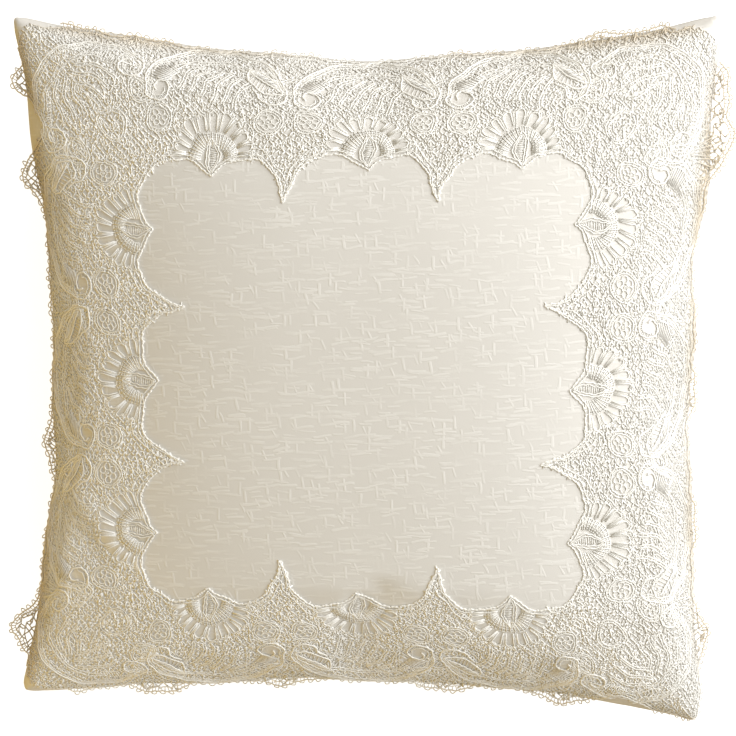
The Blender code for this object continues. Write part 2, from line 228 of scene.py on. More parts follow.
def settle_cover():
    """Blows the flat-cut cover up with the cloth solver from its drawn shape, and returns how far
    each point of the front and of the back moved, on the spread grid."""
    places = spread(SIM_CELLS)
    u, v = np.meshgrid(places, places)
    start_front = front(u, v, COVER_HALF, CROWN, 0.0)
    start_back = back(u, v, COVER_HALF, CROWN, 0.0)
    numbers, back_numbers, rim = bag_numbers(SIM_CELLS)
    inner = ~rim
    flat = np.stack([u * FLAT_HALF, v * FLAT_HALF, np.full_like(u, SEAM_HEIGHT)], -1)
    points = np.concatenate([start_front.reshape(-1, 3), start_back[inner]])
    rest = np.concatenate([flat.reshape(-1, 3), flat[inner]])
    bag = mesh_object("settling_cover", points, bag_quads(back_numbers))
    bag.shape_key_add(name="Basis")
    cut = bag.shape_key_add(name="cut")
    cut.data.foreach_set("co", rest.astype(np.float32).ravel())
    pinned = bag.vertex_groups.new(name="held")
    near_zip = (np.abs(v - HELD_MIDDLE) < HELD_HALF) & (np.abs(u) < HELD_ALONG) & inner
    resting = (start_back[..., 2] < 1e-5) & inner
    pinned.add(back_numbers[near_zip | resting].tolist(), 1.0, "REPLACE")
    cloth = bag.modifiers.new("Cloth", "CLOTH")
    setting = cloth.settings
    setting.quality = 7
    setting.mass = 0.15
    setting.tension_stiffness = 25
    setting.compression_stiffness = 25
    setting.shear_stiffness = 8
    setting.bending_stiffness = 0.4
    setting.use_pressure = True
    setting.uniform_pressure_force = 4
    setting.effector_weights.gravity = 0
    setting.vertex_group_mass = "held"
    setting.rest_shape_key = cut
    cloth.point_cache.frame_end = SIM_FRAMES
    for number in range(1, SIM_FRAMES + 1):
        bpy.context.scene.frame_set(number)
    settled = bag.evaluated_get(bpy.context.evaluated_depsgraph_get()).data
    moved = np.empty(len(settled.vertices) * 3, np.float32)
    settled.vertices.foreach_get("co", moved)
    moved = moved.reshape(-1, 3)
    bpy.context.scene.frame_set(1)
    bpy.data.objects.remove(bag)
    shifts = []
    for start, order in ((start_front, numbers), (start_back, back_numbers)):
        shift = moved[order.ravel()].reshape(start.shape) - start
        length = np.linalg.norm(shift, axis=-1, keepdims=True)
        shifts.append(shift * np.minimum(1, SIM_REACH / np.maximum(length, 1e-9)))
    return without_swell(*shifts)


def without_swell(on_front_side, on_back_side):
    """What is left of two fields after a wide blur is taken away, so the folds stay and the overall
    swelling goes. Each grid is padded with the other one, turned over at the seam, so the seam's own
    values stay equal on both."""
    weights = np.exp(-0.5 * (np.arange(-SIM_BLUR, SIM_BLUR + 1) / (SIM_BLUR / 2.2)) ** 2)
    weights /= weights.sum()
    fields = [on_front_side, on_back_side]
    for axis in (0, 1):
        turned = [np.moveaxis(field, axis, 0) for field in fields]
        padded = [
            np.concatenate([b[SIM_BLUR:0:-1], a, b[-2 : -SIM_BLUR - 2 : -1]])
            for a, b in (turned, turned[::-1])
        ]
        count = len(turned[0])
        turned = [sum(w * a[k : k + count] for k, w in enumerate(weights)) for a in padded]
        fields = [np.moveaxis(field, 0, axis) for field in turned]
    return on_front_side - fields[0], on_back_side - fields[1]


FRONT_SHIFT, BACK_SHIFT = settle_cover()


def sampled(field, u, v):
    """How far the simulation moved the cover at any place."""
    return read_between(field, spread(SIM_CELLS), u, v)


# How the sewn cover differs from a true square: x and y in metres, at each corner and mid-side
CREEP = (
    (-1, 1, -0.0058, 0.0038),
    (1, 1, -0.001, 0.005),
    (-1, -1, -0.0036, 0.0040),
    (1, -1, -0.005, -0.001),
    (0, 1, 0.0, -0.0011),
    (-1, 0, -0.0015, 0.0),
    (1, 0, 0.0014, 0.0),
    (0, -1, 0.0, 0.0025),
)
CORNER_BLUNT = 0.0030
PUCKER = 0.0007
PUCKER_REACH = 0.11
PUCKER_PHASES = RNG.uniform(0, 2 * np.pi, (4, 5))
PUCKER_WAVES = RNG.uniform(7, 19, (4, 5))


def creep(u, v):
    """The square's own irregularity. Its sides pull in by (1 - t^2)^1.5, so the corners are fuller than
    the CAD's and a little blunt; each corner row of CREEP counts times |u v|^3, and each mid-side row
    times t^6 across its side and (1 - t^4) along it."""
    shift = np.zeros(np.shape(u) + (3,))
    fuller_u = np.clip(1 - v * v, 0, 1)
    fuller_v = np.clip(1 - u * u, 0, 1)
    shift[..., 0] = SIDE_PULL * u**3 * (fuller_u - fuller_u**1.5)
    shift[..., 1] = SIDE_PULL * v**3 * (fuller_v - fuller_v**1.5)
    blunt = CORNER_BLUNT * np.abs(u * v) ** 30
    shift[..., 0] -= np.sign(u) * blunt
    shift[..., 1] -= np.sign(v) * blunt
    for side_u, side_v, dx, dy in CREEP:
        power = 3 if side_u * side_v else 6
        share_u = np.where(u * side_u > 0, np.abs(u) ** power, 0) if side_u else 1 - u**4
        share_v = np.where(v * side_v > 0, np.abs(v) ** power, 0) if side_v else 1 - v**4
        shift[..., 0] += share_u * share_v * dx
        shift[..., 1] += share_u * share_v * dy
    return shift


def puckers(u, v):
    """Waves of the seam: a sum of five sines along each side, moving it up and down and in and out,
    times exp(-distance from that side) and times (1 - t^4) towards the corners."""
    shift = np.zeros(np.shape(u) + (3,))
    for side, (t, edge, axis, way) in enumerate(
        ((u, 1 - v, 1, 1), (v, 1 - u, 0, 1), (u, 1 + v, 1, -1), (v, 1 + u, 0, -1))
    ):
        share = PUCKER * np.exp(-edge / PUCKER_REACH) * (1 - t**4)
        sines = list(zip(PUCKER_WAVES[side], PUCKER_PHASES[side]))
        waves = sum(np.sin(w * t + p) for w, p in sines)
        later = sum(np.cos(w * t + 2 * p) for w, p in sines)
        shift[..., 2] += share * waves
        shift[..., axis] += way * 0.6 * share * later
    return shift


# Folds that handling left in the front: where each starts and ends, its depth and its width, in mm
CREASES = (
    (-123.0, -36.0, -84.0, -72.0, 1.1, 4.5),
    (-60.0, -124.0, -28.0, -104.0, 0.6, 5.0),
    (92.0, 118.0, 70.0, 96.0, 0.5, 5.0),
    (118.0, -70.0, 96.0, -88.0, 0.6, 5.0),
)


def creases(u, v):
    """Each crease is a ridge beside a valley: depth * (d / width) * exp(0.5 - 0.5 (d / width)^2) at a
    distance d from its line, fading at both ends by (1 - t^2)^2."""
    x, y = u * FLAT_HALF / MM, v * FLAT_HALF / MM
    shift = np.zeros(np.shape(u) + (3,))
    for from_x, from_y, to_x, to_y, depth, width in CREASES:
        length = math.hypot(to_x - from_x, to_y - from_y) / 2
        along_x, along_y = (to_x - from_x) / (2 * length), (to_y - from_y) / (2 * length)
        off_x, off_y = x - (from_x + to_x) / 2, y - (from_y + to_y) / 2
        t = np.clip((off_x * along_x + off_y * along_y) / length, -1, 1)
        d = (off_x * along_y - off_y * along_x) / width
        shift[..., 2] -= depth * MM * d * np.exp(0.5 - 0.5 * d * d) * (1 - t * t) ** 2
    return shift


def cover_front(u, v):
    """The front as it is sewn, stuffed and handled."""
    u, v = np.clip(u, -1, 1), np.clip(v, -1, 1)
    folds = sampled(FRONT_SHIFT, u, v) + creases(u, v)
    return front(u, v) + folds + creep(u, v) + puckers(u, v)


FINE_PLACES = spread(321)
FINE_U, FINE_V = np.meshgrid(FINE_PLACES, FINE_PLACES)
FINE_FRONT = cover_front(FINE_U, FINE_V)
FINE_NORMALS = grid_normals(FINE_FRONT)


# Where the lace was sewn a little off its true place: x, y and the shift at each of its tips, in mm
SEWN_OFF = np.array(
    [
        (-53.5, 75.25, 0.7, -2.1),
        (0, 75.25, 2.4, 1.7),
        (53.5, 75.25, 1.7, 2.2),
        (-26.75, 66.25, -0.4, -0.4),
        (26.75, 66.25, -1.5, 0.2),
        (75.25, 53.5, -0.1, 3.7),
        (75.25, 0, -0.1, -1.5),
        (75.25, -53.5, -1.4, -2.2),
        (66.25, 26.75, -0.4, 0.9),
        (66.25, -26.75, -0.8, 0.0),
        (-75.25, 53.5, -0.5, -0.6),
        (-75.25, 0, 1.4, -0.1),
        (-75.25, -53.5, 1.3, -0.9),
        (-66.25, 26.75, 1.9, -0.8),
        (-66.25, -26.75, 1.9, -1.2),
        (-53.5, -75.25, -0.8, 0.4),
        (0, -75.25, -1.7, -1.5),
        (53.5, -75.25, -0.8, -0.4),
        (-26.75, -66.25, -1.4, 1.7),
        (26.75, -66.25, -0.1, -0.8),
    ]
)
SEWN_REACH = 17.0
SEWN_HOLD = 0.25
DROOP = 0.3


def wander(flat):
    """Flat points moved a little by sines of both directions, as hand-guided stitching wanders."""
    x, y = flat[..., 0], flat[..., 1]
    dx = 0.45 * np.sin(0.53 * y + 1.3 * np.sin(0.21 * x)) + 0.16 * np.sin(2.3 * y + 1.9 * x)
    dy = 0.45 * np.sin(0.49 * x + 1.1 * np.sin(0.27 * y)) + 0.16 * np.sin(2.1 * x - 1.7 * y)
    return flat + np.stack([dx, dy], -1)


def sewn(flat):
    """Flat points moved by the shifts of SEWN_OFF, each weighted by exp(-(distance / SEWN_REACH)^2)
    and all of them together against SEWN_HOLD."""
    flat = wander(flat)
    x, y = flat[..., 0], flat[..., 1]
    far = [np.hypot(x - tip_x, y - tip_y) for tip_x, tip_y in SEWN_OFF[:, :2]]
    weights = [np.exp(-((distance / SEWN_REACH) ** 2)) for distance in far]
    total = sum(weights) + SEWN_HOLD
    shift = sum(w[..., None] * row[2:] for w, row in zip(weights, SEWN_OFF))
    return flat + shift / total[..., None]


def on_front(flat, height=0.0):
    """Points of the flat cloth, in millimetres, carried onto the stuffed front at a height in metres.
    Past the cloth's edge the lace runs straight on and droops."""
    flat = sewn(np.asarray(flat, float))
    held = np.clip(flat, -TURN, TURN)
    over = (flat - held) * MM
    u, v = held[..., 0] * MM / FLAT_HALF, held[..., 1] * MM / FLAT_HALF
    point = read_between(FINE_FRONT, FINE_PLACES, u, v)
    normal = read_between(FINE_NORMALS, FINE_PLACES, u, v)
    normal /= np.linalg.norm(normal, axis=-1, keepdims=True)
    droop = DROOP * crown(np.where(np.abs(flat[..., 0]) > np.abs(flat[..., 1]), v, u))
    length = np.linalg.norm(over, axis=-1)
    beyond = np.concatenate([over, (-droop * length)[..., None]], -1)
    return point + beyond + normal * np.asarray(height)[..., None], normal


# ---------------------------------------------------------------- threads


def tubes(lines, normals, radii, sides=4, flatten=1.0):
    """Tubes round K lines of M points: each ring is centre + r * (side * cos a + flatten * up * sin a),
    with up along the cloth's normal. Both ends are capped. Returns points, quads and triangles."""
    count, length = lines.shape[:2]
    tangents = np.gradient(lines, axis=1)
    side = np.cross(tangents, normals)
    side /= np.maximum(np.linalg.norm(side, axis=-1, keepdims=True), 1e-12)
    up = np.cross(side, tangents)
    up /= np.maximum(np.linalg.norm(up, axis=-1, keepdims=True), 1e-12)
    angles = 2 * np.pi * (np.arange(sides) + (0.25 if sides == 3 else 0.5)) / sides
    across, above = np.cos(angles)[:, None], np.sin(angles)[:, None] * flatten
    ring = side[:, :, None] * across + up[:, :, None] * above
    points = lines[:, :, None] + ring * np.broadcast_to(radii, (count, length))[:, :, None, None]
    quads = grid_quads(length, sides, wrap=True)[:, ::-1]
    caps = np.array([[0, k, k + 1] for k in range(1, sides - 1)])
    caps = np.concatenate([caps, caps[:, ::-1] + (length - 1) * sides])
    offsets = np.arange(count)[:, None, None] * length * sides
    quads = (quads[None] + offsets).reshape(-1, 4)
    return points.reshape(-1, 3), quads, (caps[None] + offsets).reshape(-1, 3)


class Threads:
    """Collects threads as point, quad and triangle arrays."""

    def __init__(self):
        self.points, self.quads, self.triangles, self.total = [], [], [], 0

    def add(self, points, quads, triangles):
        self.points.append(points)
        self.quads.append(quads + self.total)
        self.triangles.append(triangles + self.total)
        self.total += len(points)

    def lay(self, lines, height, radius, sides=4, flatten=0.8):
        """Lays K flat lines of M points on the front. height and radius are millimetres."""
        height = np.broadcast_to(np.asarray(height, float), lines.shape[:2]) * MM
        radius = np.broadcast_to(np.asarray(radius, float), lines.shape[:2]) * MM
        placed, normals = on_front(lines, height)
        self.add(*tubes(placed, normals, radius, sides, flatten))

    def arrays(self):
        return [np.concatenate(part) for part in (self.points, self.quads, self.triangles)]


def arc(centre, radius_x, radius_y, start, end, count):
    """Points of an ellipse between two angles in degrees."""
    a = np.radians(np.linspace(start, end, count))
    return np.stack([centre[0] + radius_x * np.cos(a), centre[1] + radius_y * np.sin(a)], -1)


def curve(points, count):
    """A smooth line of count points through given ones: a Catmull-Rom spline."""
    p = np.asarray(points, float)
    p = np.concatenate([[2 * p[0] - p[1]], p, [2 * p[-1] - p[-2]]])
    t = np.linspace(0, len(p) - 3, count)
    i = np.minimum(t.astype(int), len(p) - 4)
    f = (t - i)[:, None]
    a, b, c, d = p[i], p[i + 1], p[i + 2], p[i + 3]
    square, cube = 2 * a - 5 * b + 4 * c - d, 3 * b - a - 3 * c + d
    return 0.5 * (2 * b + (c - a) * f + square * f**2 + cube * f**3)


def beside(line, distance):
    """The line moved sideways, to its left, by a distance."""
    along = np.gradient(line, axis=0)
    along /= np.maximum(np.linalg.norm(along, axis=1, keepdims=True), 1e-9)
    return line + distance * np.stack([-along[:, 1], along[:, 0]], -1)


def evenly(line, pitch):
    """The line's points at an even pitch along it."""
    steps = np.concatenate([[0], np.cumsum(np.linalg.norm(np.diff(line, axis=0), axis=1))])
    places = np.linspace(0, steps[-1], max(2, int(round(steps[-1] / pitch)) + 1))
    return np.stack([np.interp(places, steps, line[:, k]) for k in (0, 1)], -1)


def rungs(one, other, pitch):
    """Short bars between two lines, at a pitch along them: K lines of 2 points."""
    count = max(2, int(round(np.linalg.norm(np.diff(one, axis=0), axis=1).sum() / pitch)))
    t = np.linspace(0, len(one) - 1, count)
    return np.stack([at_share(one, t), at_share(other, t / (len(one) - 1) * (len(other) - 1))], 1)


def at_share(line, t):
    """The line's points at step numbers t, which may be fractions."""
    steps = np.arange(len(line))
    return np.stack([np.interp(t, steps, line[:, k]) for k in (0, 1)], -1)


# Each kind of thread, with its radius and the height of its middle over the cloth in millimetres. The
# knotted cord of the inner edge, EDGE, has its own height, and a radius that swells once in every
# EDGE_BEAD of its points.
CORD, FINE_CORD, BAR, SATIN, LOOP, EDGE = "cord", "fine cord", "bar", "satin", "loop", "edge"
GAUGE = {
    CORD: (0.33, 0.34),
    FINE_CORD: (0.25, 0.26),
    BAR: (0.19, 0.16),
    SATIN: (0.25, 0.32),
    LOOP: (0.27, 0.3),
}
EDGE_HEIGHT = 0.24
EDGE_RADIUS = 0.31
EDGE_SWELL = 0.13
EDGE_BEAD = 3.5


class Pattern:
    """The lines of the lace on the flat cloth, before they are shared among the four runs."""

    def __init__(self):
        self.lines = []
        self.bars = []

    def line(self, points, kind):
        self.lines.append((np.asarray(points, float), kind))

    def ladder(self, one, other, pitch, kind=BAR):
        self.bars.append((rungs(one, other, pitch), kind))

    def placed(self, move):
        """The same pattern with its points moved."""
        made = Pattern()
        made.lines = [(move(points), kind) for points, kind in self.lines]
        made.bars = [(move(points), kind) for points, kind in self.bars]
        return made

    def join(self, other):
        self.lines += other.lines
        self.bars += other.bars


def inner_edge(s):
    """Distance from the middle of the cloth at which the lace begins: scallops that meet in a short
    tip at each fan and a long tip between fans, and a round corner past the last fan."""
    phase = np.abs(s) / (PITCH / 2)
    to_fan = np.abs(phase - 2 * np.round(phase / 2))
    edge = WINDOW + BULGE - (SHORT_TIP + BULGE) * (1 - to_fan) ** 4
    tip = (LONG_TIP + BULGE) * to_fan**5.5
    beyond = np.clip((np.abs(s) - PITCH) / (WINDOW - CORNER_INSET - PITCH), 0, 1)
    return edge - np.where(np.abs(s) < PITCH, tip, (CORNER_INSET + BULGE) * beyond**3.5)


# The lobes of each run's outer edge: place along it, reach past the straight edge and half width
LOBES = {
    "lace_top": ((-106, 2, 16), (-80, 1, 17), (-26, 1, 15), (30, 1, 15), (84, 3, 17), (103, 2.5, 9)),
    "lace_right": ((-104, 6, 12), (-86, 9, 18), (-28, 0.5, 15), (6, 3, 13), (52, 2, 15), (94, 5, 14)),
    "lace_bottom": ((-97, -8, 15), (-72, 4, 15), (-28, 3, 14), (30, 3, 14), (76, 4, 16), (108, 1, 12)),
    "lace_left": ((-99, 9, 14), (-27, 4, 14), (28, 0.5, 14), (70, 6, 12), (89, -9, 12), (105, 5, 8)),
}
EDGE_PLACES = np.linspace(-LACE_EDGE - 12, LACE_EDGE + 12, 2001)


def lobed(name, s):
    """The sum of the run's lobes, each reach * (0.5 + 0.5 cos(pi * distance / half width))^0.8."""
    total = np.zeros(np.shape(s))
    for middle, reach, half in LOBES[name]:
        near = np.clip(np.abs(s - middle) / half, 0, 1)
        total = total + reach * (0.5 + 0.5 * np.cos(np.pi * near)) ** 0.8
    return total


def outer_edge(name, s):
    """Distance from the middle at which a run of lace ends."""
    return LACE_EDGE + lobed(name, s)


# ---------------------------------------------------------------- the fan and its border

FAN_EYE = (0.0, 3.0)
FAN_ROOT = (0.0, 1.0)
PETALS = 11
NET_RING = 9.0


def fan_reach(angle, side, top):
    """A length that grows from side, along the window's edge, to top, straight out."""
    return side + (top - side) * np.sin(np.radians(angle)) ** 2


def fan_arc(side, top, start, end, count):
    """Points round the fan's root between two angles in degrees, at the reach of fan_reach."""
    angles = np.linspace(start, end, count)
    reach = fan_reach(angles, side, top)
    a = np.radians(angles)
    return np.stack([FAN_ROOT[0] + reach * np.cos(a), FAN_ROOT[1] + reach * np.sin(a)], -1)


def almond(width, height, count=25):
    """A lens outline: width * sin(pi t)^0.85 either side of a line of that height."""
    t = np.linspace(0, 1, count)
    half = width * np.sin(np.pi * t) ** 0.85
    y = FAN_EYE[1] + height * (2 * t - 1)
    return np.stack([half, y], -1), np.stack([-half, y], -1)


def fan_pattern():
    """An almond eye in a band of dense netting, with long open petals round it and rays between."""
    made = Pattern()
    for width, height, kind in ((1.7, 6.0, FINE_CORD), (2.6, 7.0, LOOP)):
        right, left = almond(width, height)
        made.line(right, kind)
        made.line(left, kind)
    right, left = almond(1.5, 5.6)
    made.ladder(right, left, 0.8)
    for radius in (4.6, 5.7, 6.8, 7.9, NET_RING):
        made.line(fan_arc(radius, radius + 1.8, -4, 184, 39), BAR)
    for start in (0, 1):
        angles = np.arange(start * 4.5 - 4, 184, 9)
        inner = np.concatenate([fan_arc(4.2, 5.6, a, a, 1) for a in angles])
        outer = np.concatenate([fan_arc(NET_RING, NET_RING + 1.8, a + 5, a + 5, 1) for a in angles])
        made.bars.append((np.stack([inner, outer], 1), BAR if start else FINE_CORD))
    step = 188 / PETALS
    for number in range(PETALS):
        middle = -4 + (number + 0.5) * step
        made.line(petal(middle, step * 0.32, 0.0), FINE_CORD)
        made.line(petal(middle, step * 0.44, 0.8), BAR)
    rays = -4 + np.arange(PETALS + 1) * step
    feet = np.concatenate([fan_arc(NET_RING, NET_RING + 1.8, a, a, 1) for a in rays])
    heads = np.concatenate([fan_arc(14.4, 19.4, a, a, 1) for a in rays])
    made.bars.append((np.stack([feet, heads], 1), BAR))
    return made


def petal(middle, half, out):
    """An open window that points out of the fan: two straight sides and a round end."""
    t = np.linspace(0, np.pi, 9)
    end = middle + half * np.cos(t)
    reach = fan_reach(end, 12.8, 16.6) + out + 2.0 * np.sin(t)
    a = np.radians(np.concatenate([[middle + half], end, [middle - half]]))
    reach = np.concatenate([[NET_RING + 1], reach, [NET_RING + 1]])
    reach[[0, -1]] = fan_reach(middle, NET_RING + 0.6, NET_RING + 2.8)
    return np.stack([FAN_ROOT[0] + reach * np.cos(a), FAN_ROOT[1] + reach * np.sin(a)], -1)


FLOWER = (20.0, 15.5)
FLOWER_TALL = 1.12


def oval_pattern(side):
    """A round flower in a double ring, beside the fan."""
    made = Pattern()
    centre = np.array([side * FLOWER[0], FLOWER[1]])
    for radius in (4.9, 4.0):
        made.line(arc(centre, radius, radius * FLOWER_TALL, 0, 360, 33), FINE_CORD)
    made.ladder(arc(centre, 4.9, 5.5, 0, 360, 33), arc(centre, 4.0, 4.5, 0, 360, 33), 0.9)
    for turn in range(6):
        a = math.radians(60 * turn + 15)
        petal_middle = centre + 2.2 * np.array([math.cos(a), math.sin(a)])
        made.line(arc(petal_middle, 1.2, 1.2, 0, 360, 9), FINE_CORD)
    made.line(arc(centre, 0.4, 0.4, 0, 360, 7), FINE_CORD)
    return made


ARCH = (0.0, 29.0)


def arch_pattern():
    """The great arch over each fan, with a leaf at its right end, a scroll at its left end and
    feather veins under its crown."""
    made = Pattern()
    outer = arc(ARCH, 25.4, BORDER - 29.6, 0, 180, 81)
    inner = arc(ARCH, 23.4, BORDER - 31.6, 2, 178, 77)
    made.line(outer, CORD)
    made.line(beside(outer, 0.8), FINE_CORD)
    made.line(inner, FINE_CORD)
    made.ladder(outer, inner, 0.8)
    second = arc(ARCH, 19.6, BORDER - 35.4, 38, 146, 45)
    made.line(second, FINE_CORD)
    made.line(beside(second, 1.3), FINE_CORD)
    leaf_top = curve([(24.0, 28.5), (22.2, 34.0), (17.5, 38.6), (11.5, 41.0)], 27)
    leaf_low = curve([(24.0, 28.5), (19.0, 27.8), (14.5, 31.5), (12.0, 36.0), (11.5, 41.0)], 27)
    vein = curve([(22.8, 30.0), (18.6, 33.2), (14.6, 37.2), (12.0, 40.2)], 25)
    made.line(leaf_top, CORD)
    made.line(leaf_low, CORD)
    made.line(vein, CORD)
    made.ladder(vein, leaf_top, 0.5, SATIN)
    made.ladder(vein, leaf_low, 1.1)
    curl = curve([(25.4, 29), (24.8, 25.2), (21.4, 23.2), (17.6, 24.2), (15.8, 27.6), (13.0, 31.0)], 31)
    made.line(curl, CORD)
    made.ladder(curl, beside(curl, -1.6), 0.9)
    scroll = [(-25.4, 29), (-25.2, 25.2), (-22.4, 22.4), (-18.6, 22.6), (-16.4, 25.6), (-17.2, 29.2)]
    scroll = curve(scroll + [(-20.4, 30.4), (-22.4, 28.4), (-21.4, 26.2)], 45)
    made.line(scroll, CORD)
    made.line(beside(scroll[:26], 1.5), FINE_CORD)
    made.ladder(scroll[:26], beside(scroll[:26], 1.5), 0.8)
    stem_one = curve([(-23.2, 32.2), (-20.8, 36.6), (-16.6, 40.0)], 21)
    stem_two = curve([(-17.2, 30.6), (-15.4, 33.6), (-12.6, 36.6)], 21)
    made.line(stem_one, FINE_CORD)
    made.line(stem_two, FINE_CORD)
    made.ladder(stem_one, stem_two, 1.0, SATIN)
    for share in np.linspace(0, 1, 6):
        foot = np.array([-13.5, 27.5]) * (1 - share) + np.array([7.0, 20.5]) * share
        head = np.array([-5.0, 41.0]) * (1 - share) + np.array([12.5, 34.5]) * share
        bow = (foot + head) / 2 + (-1.5, 1.2)
        vein = curve([foot, bow, head], 15)
        made.line(vein, FINE_CORD)
        made.line(beside(vein, -1.0), FINE_CORD)
        made.ladder(vein, beside(vein, -1.0), 1.6)
    return made


# Where the loops between two arches spring from, how tall they are, and each one's angle and reach
LOBE_ROOT = 33.5
LOBE_HEIGHT = 18.0
LOBE_LOOPS = ((32, 11.0), (54, 14.5), (74, 16.5), (90, 17.5), (106, 16.5), (126, 14.5), (148, 11.0))


def lobe_pattern():
    """Loops that open like a leaf over the place where two arches meet."""
    made = Pattern()
    root = np.array([PITCH / 2, LOBE_ROOT])
    for angle, reach in LOBE_LOOPS:
        a = math.radians(angle)
        out, across = np.array([math.cos(a), math.sin(a)]), np.array([-math.sin(a), math.cos(a)])
        end = np.radians(np.linspace(-100, 100, 11))[:, None]
        tip = root + (reach - 1.7) * out + 1.55 * (np.cos(end) * out + np.sin(end) * across)
        made.line(np.concatenate([[root + 4.5 * out], tip, [root + 4.5 * out]]), FINE_CORD)
    made.line(arc(root, 4.2, 4.2, 0, 360, 25), FINE_CORD)
    made.line(arc(root, 2.8, 2.8, 0, 360, 17), FINE_CORD)
    made.ladder(arc(root, 4.2, 4.2, 0, 360, 25), arc(root, 2.8, 2.8, 0, 360, 25), 1.0)
    return made


def corner_pattern():
    """A great arch across each corner, with its own leaf and scroll, and rings at its foot. The unit's
    arch is turned by half a right angle, so that its top points to the corner."""
    arch = arch_pattern()
    for side in (-1, 1):
        arch.join(oval_pattern(side).placed(lambda p: p * (0.85, 1) + (0, 2)))
    arch.line(arc((0, 15), 5.4, 6.2, 0, 360, 33), FINE_CORD)
    arch.line(arc((0, 15), 4.4, 5.2, 0, 360, 33), FINE_CORD)
    arch.ladder(arc((0, 15), 5.4, 6.2, 0, 360, 33), arc((0, 15), 4.4, 5.2, 0, 360, 33), 0.9)
    inner = WINDOW - CORNER_INSET
    half = math.sqrt(0.5)

    def across(p):
        s, d = p[..., 0] * 1.06, p[..., 1] * 1.02 + 6.5
        return np.stack([inner + half * (d + s), inner + half * (d - s)], -1)

    return arch.placed(across)


def straight_edges(name):
    """The cord along the scalloped inner edge and the cord and small loops along the outer edge."""
    made = Pattern()
    s = np.linspace(-(WINDOW - CORNER_INSET), WINDOW - CORNER_INSET, 1601)
    inner = evenly(np.stack([s, inner_edge(s) - WINDOW], -1), 0.4)
    made.line(inner, EDGE)
    beyond = evenly(np.stack([s, inner_edge(s) - WINDOW + 1.5], -1), 0.8)
    made.line(beyond, FINE_CORD)
    for middle in (-PITCH / 2, PITCH / 2):
        near = np.linspace(middle - 12, middle + 12, 61)
        behind = 4.2 + 3.0 * np.exp(-(((near - middle) / 2.5) ** 2))
        made.line(np.stack([near, inner_edge(near) - WINDOW + behind], -1), FINE_CORD)
    outer = evenly(np.stack([EDGE_PLACES, outer_edge(name, EDGE_PLACES) - WINDOW], -1), 0.6)
    made.line(outer, CORD)
    made.line(beside(outer, -1.5), FINE_CORD)
    made.ladder(outer, beside(outer, -1.5), 1.3)
    feet = evenly(outer, 3.1)
    out = beside(feet, 1.0) - feet
    along = np.gradient(feet, axis=0)
    along /= np.linalg.norm(along, axis=1, keepdims=True)
    a = np.radians(np.linspace(-20, 200, 8))[:, None, None]
    loops = feet + 0.3 * out + 0.9 * (np.cos(a) * along + np.sin(a) * out)
    made.bars.append((np.transpose(loops, (1, 0, 2)), FINE_CORD))
    return made


# How each run's own along and out, from the window's edge, lie on the flat cloth
SIDES = {
    "lace_top": lambda p: np.stack([p[..., 0], WINDOW + p[..., 1]], -1),
    "lace_right": lambda p: np.stack([WINDOW + p[..., 1], -p[..., 0]], -1),
    "lace_bottom": lambda p: np.stack([-p[..., 0], -WINDOW - p[..., 1]], -1),
    "lace_left": lambda p: np.stack([-WINDOW - p[..., 1], p[..., 0]], -1),
}


def run_pattern(name):
    """All the lines of one straight run, on the flat cloth."""
    place = SIDES[name]
    unit = fan_pattern()
    for side in (-1, 1):
        unit.join(oval_pattern(side))
    unit.join(arch_pattern())
    made = straight_edges(name).placed(place)
    for number in (-1, 0, 1):
        made.join(unit.placed(lambda p, n=number: place(p + (n * PITCH, 0))))
    for number in (-2, -1, 0, 1):
        middle = (number + 0.5) * PITCH
        stretch = (BORDER + lobed(name, middle) - LOBE_ROOT) / LOBE_HEIGHT
        lobe = lobe_pattern().placed(lambda p, k=stretch: (p - (0, LOBE_ROOT)) * (1, k))
        made.join(lobe.placed(lambda p, n=number: place(p + (n * PITCH, LOBE_ROOT))))
    corner = corner_pattern()
    for side in (-1, 1):
        made.join(corner.placed(lambda p, w=side: place(p * (w, 1) - (0, WINDOW))))
    return made


def along_and_out(points, name):
    """Flat points in a run's own directions, with out measured from the cloth's middle."""
    x, y = points[..., 0], points[..., 1]
    return {
        "lace_top": (x, y),
        "lace_right": (-y, x),
        "lace_bottom": (-x, -y),
        "lace_left": (y, -x),
    }[name]


def own_share(points, name, past=1.8):
    """Whether flat points belong to this run: between its two mitres and inside the lace's outline,
    which has its corners cut round. past is how far beyond the outer edge they may be."""
    x, y = points[..., 0], points[..., 1]
    s, out = along_and_out(points, name)
    past_x, past_y = np.abs(x) - CORNER_FROM, np.abs(y) - CORNER_FROM
    rounded = np.minimum(past_x, past_y) < 0
    for side_x, side_y, reach in CORNER_REACH:
        rounded |= (x * side_x > 0) & (y * side_y > 0) & (np.hypot(past_x, past_y) < reach)
    in_width = (out >= inner_edge(s) - 0.4) & (out <= outer_edge(name, s) + past)
    return rounded & in_width & (np.abs(s) <= out)


def runs_of(keep):
    """Start and end of each stretch of True, with one more point on each side."""
    edges = np.flatnonzero(np.diff(np.concatenate([[0], keep.astype(int), [0]])))
    for start, end in zip(edges[::2], edges[1::2]):
        yield max(start - 1, 0), min(end + 1, len(keep))


# ---------------------------------------------------------------- the net between the motifs

# The net's spacing, how far its knots stray, how far its grid begins outside the lace, the share of
# its lengthwise ties, and how far it may pass the lace's outer edge, in millimetres
NET_ACROSS = 2.45
NET_ALONG = 1.22
NET_JITTER = 0.45
NET_MARGIN = 10.0
NET_TIES = 0.45
NET_SHORT = -0.8
# Past the seam the net opens in holes where sin(HOLE_WAVE x) sin(HOLE_WAVE y) is over HOLE_LEVEL
HOLE_WAVE = 1.5
HOLE_LEVEL = 0.25


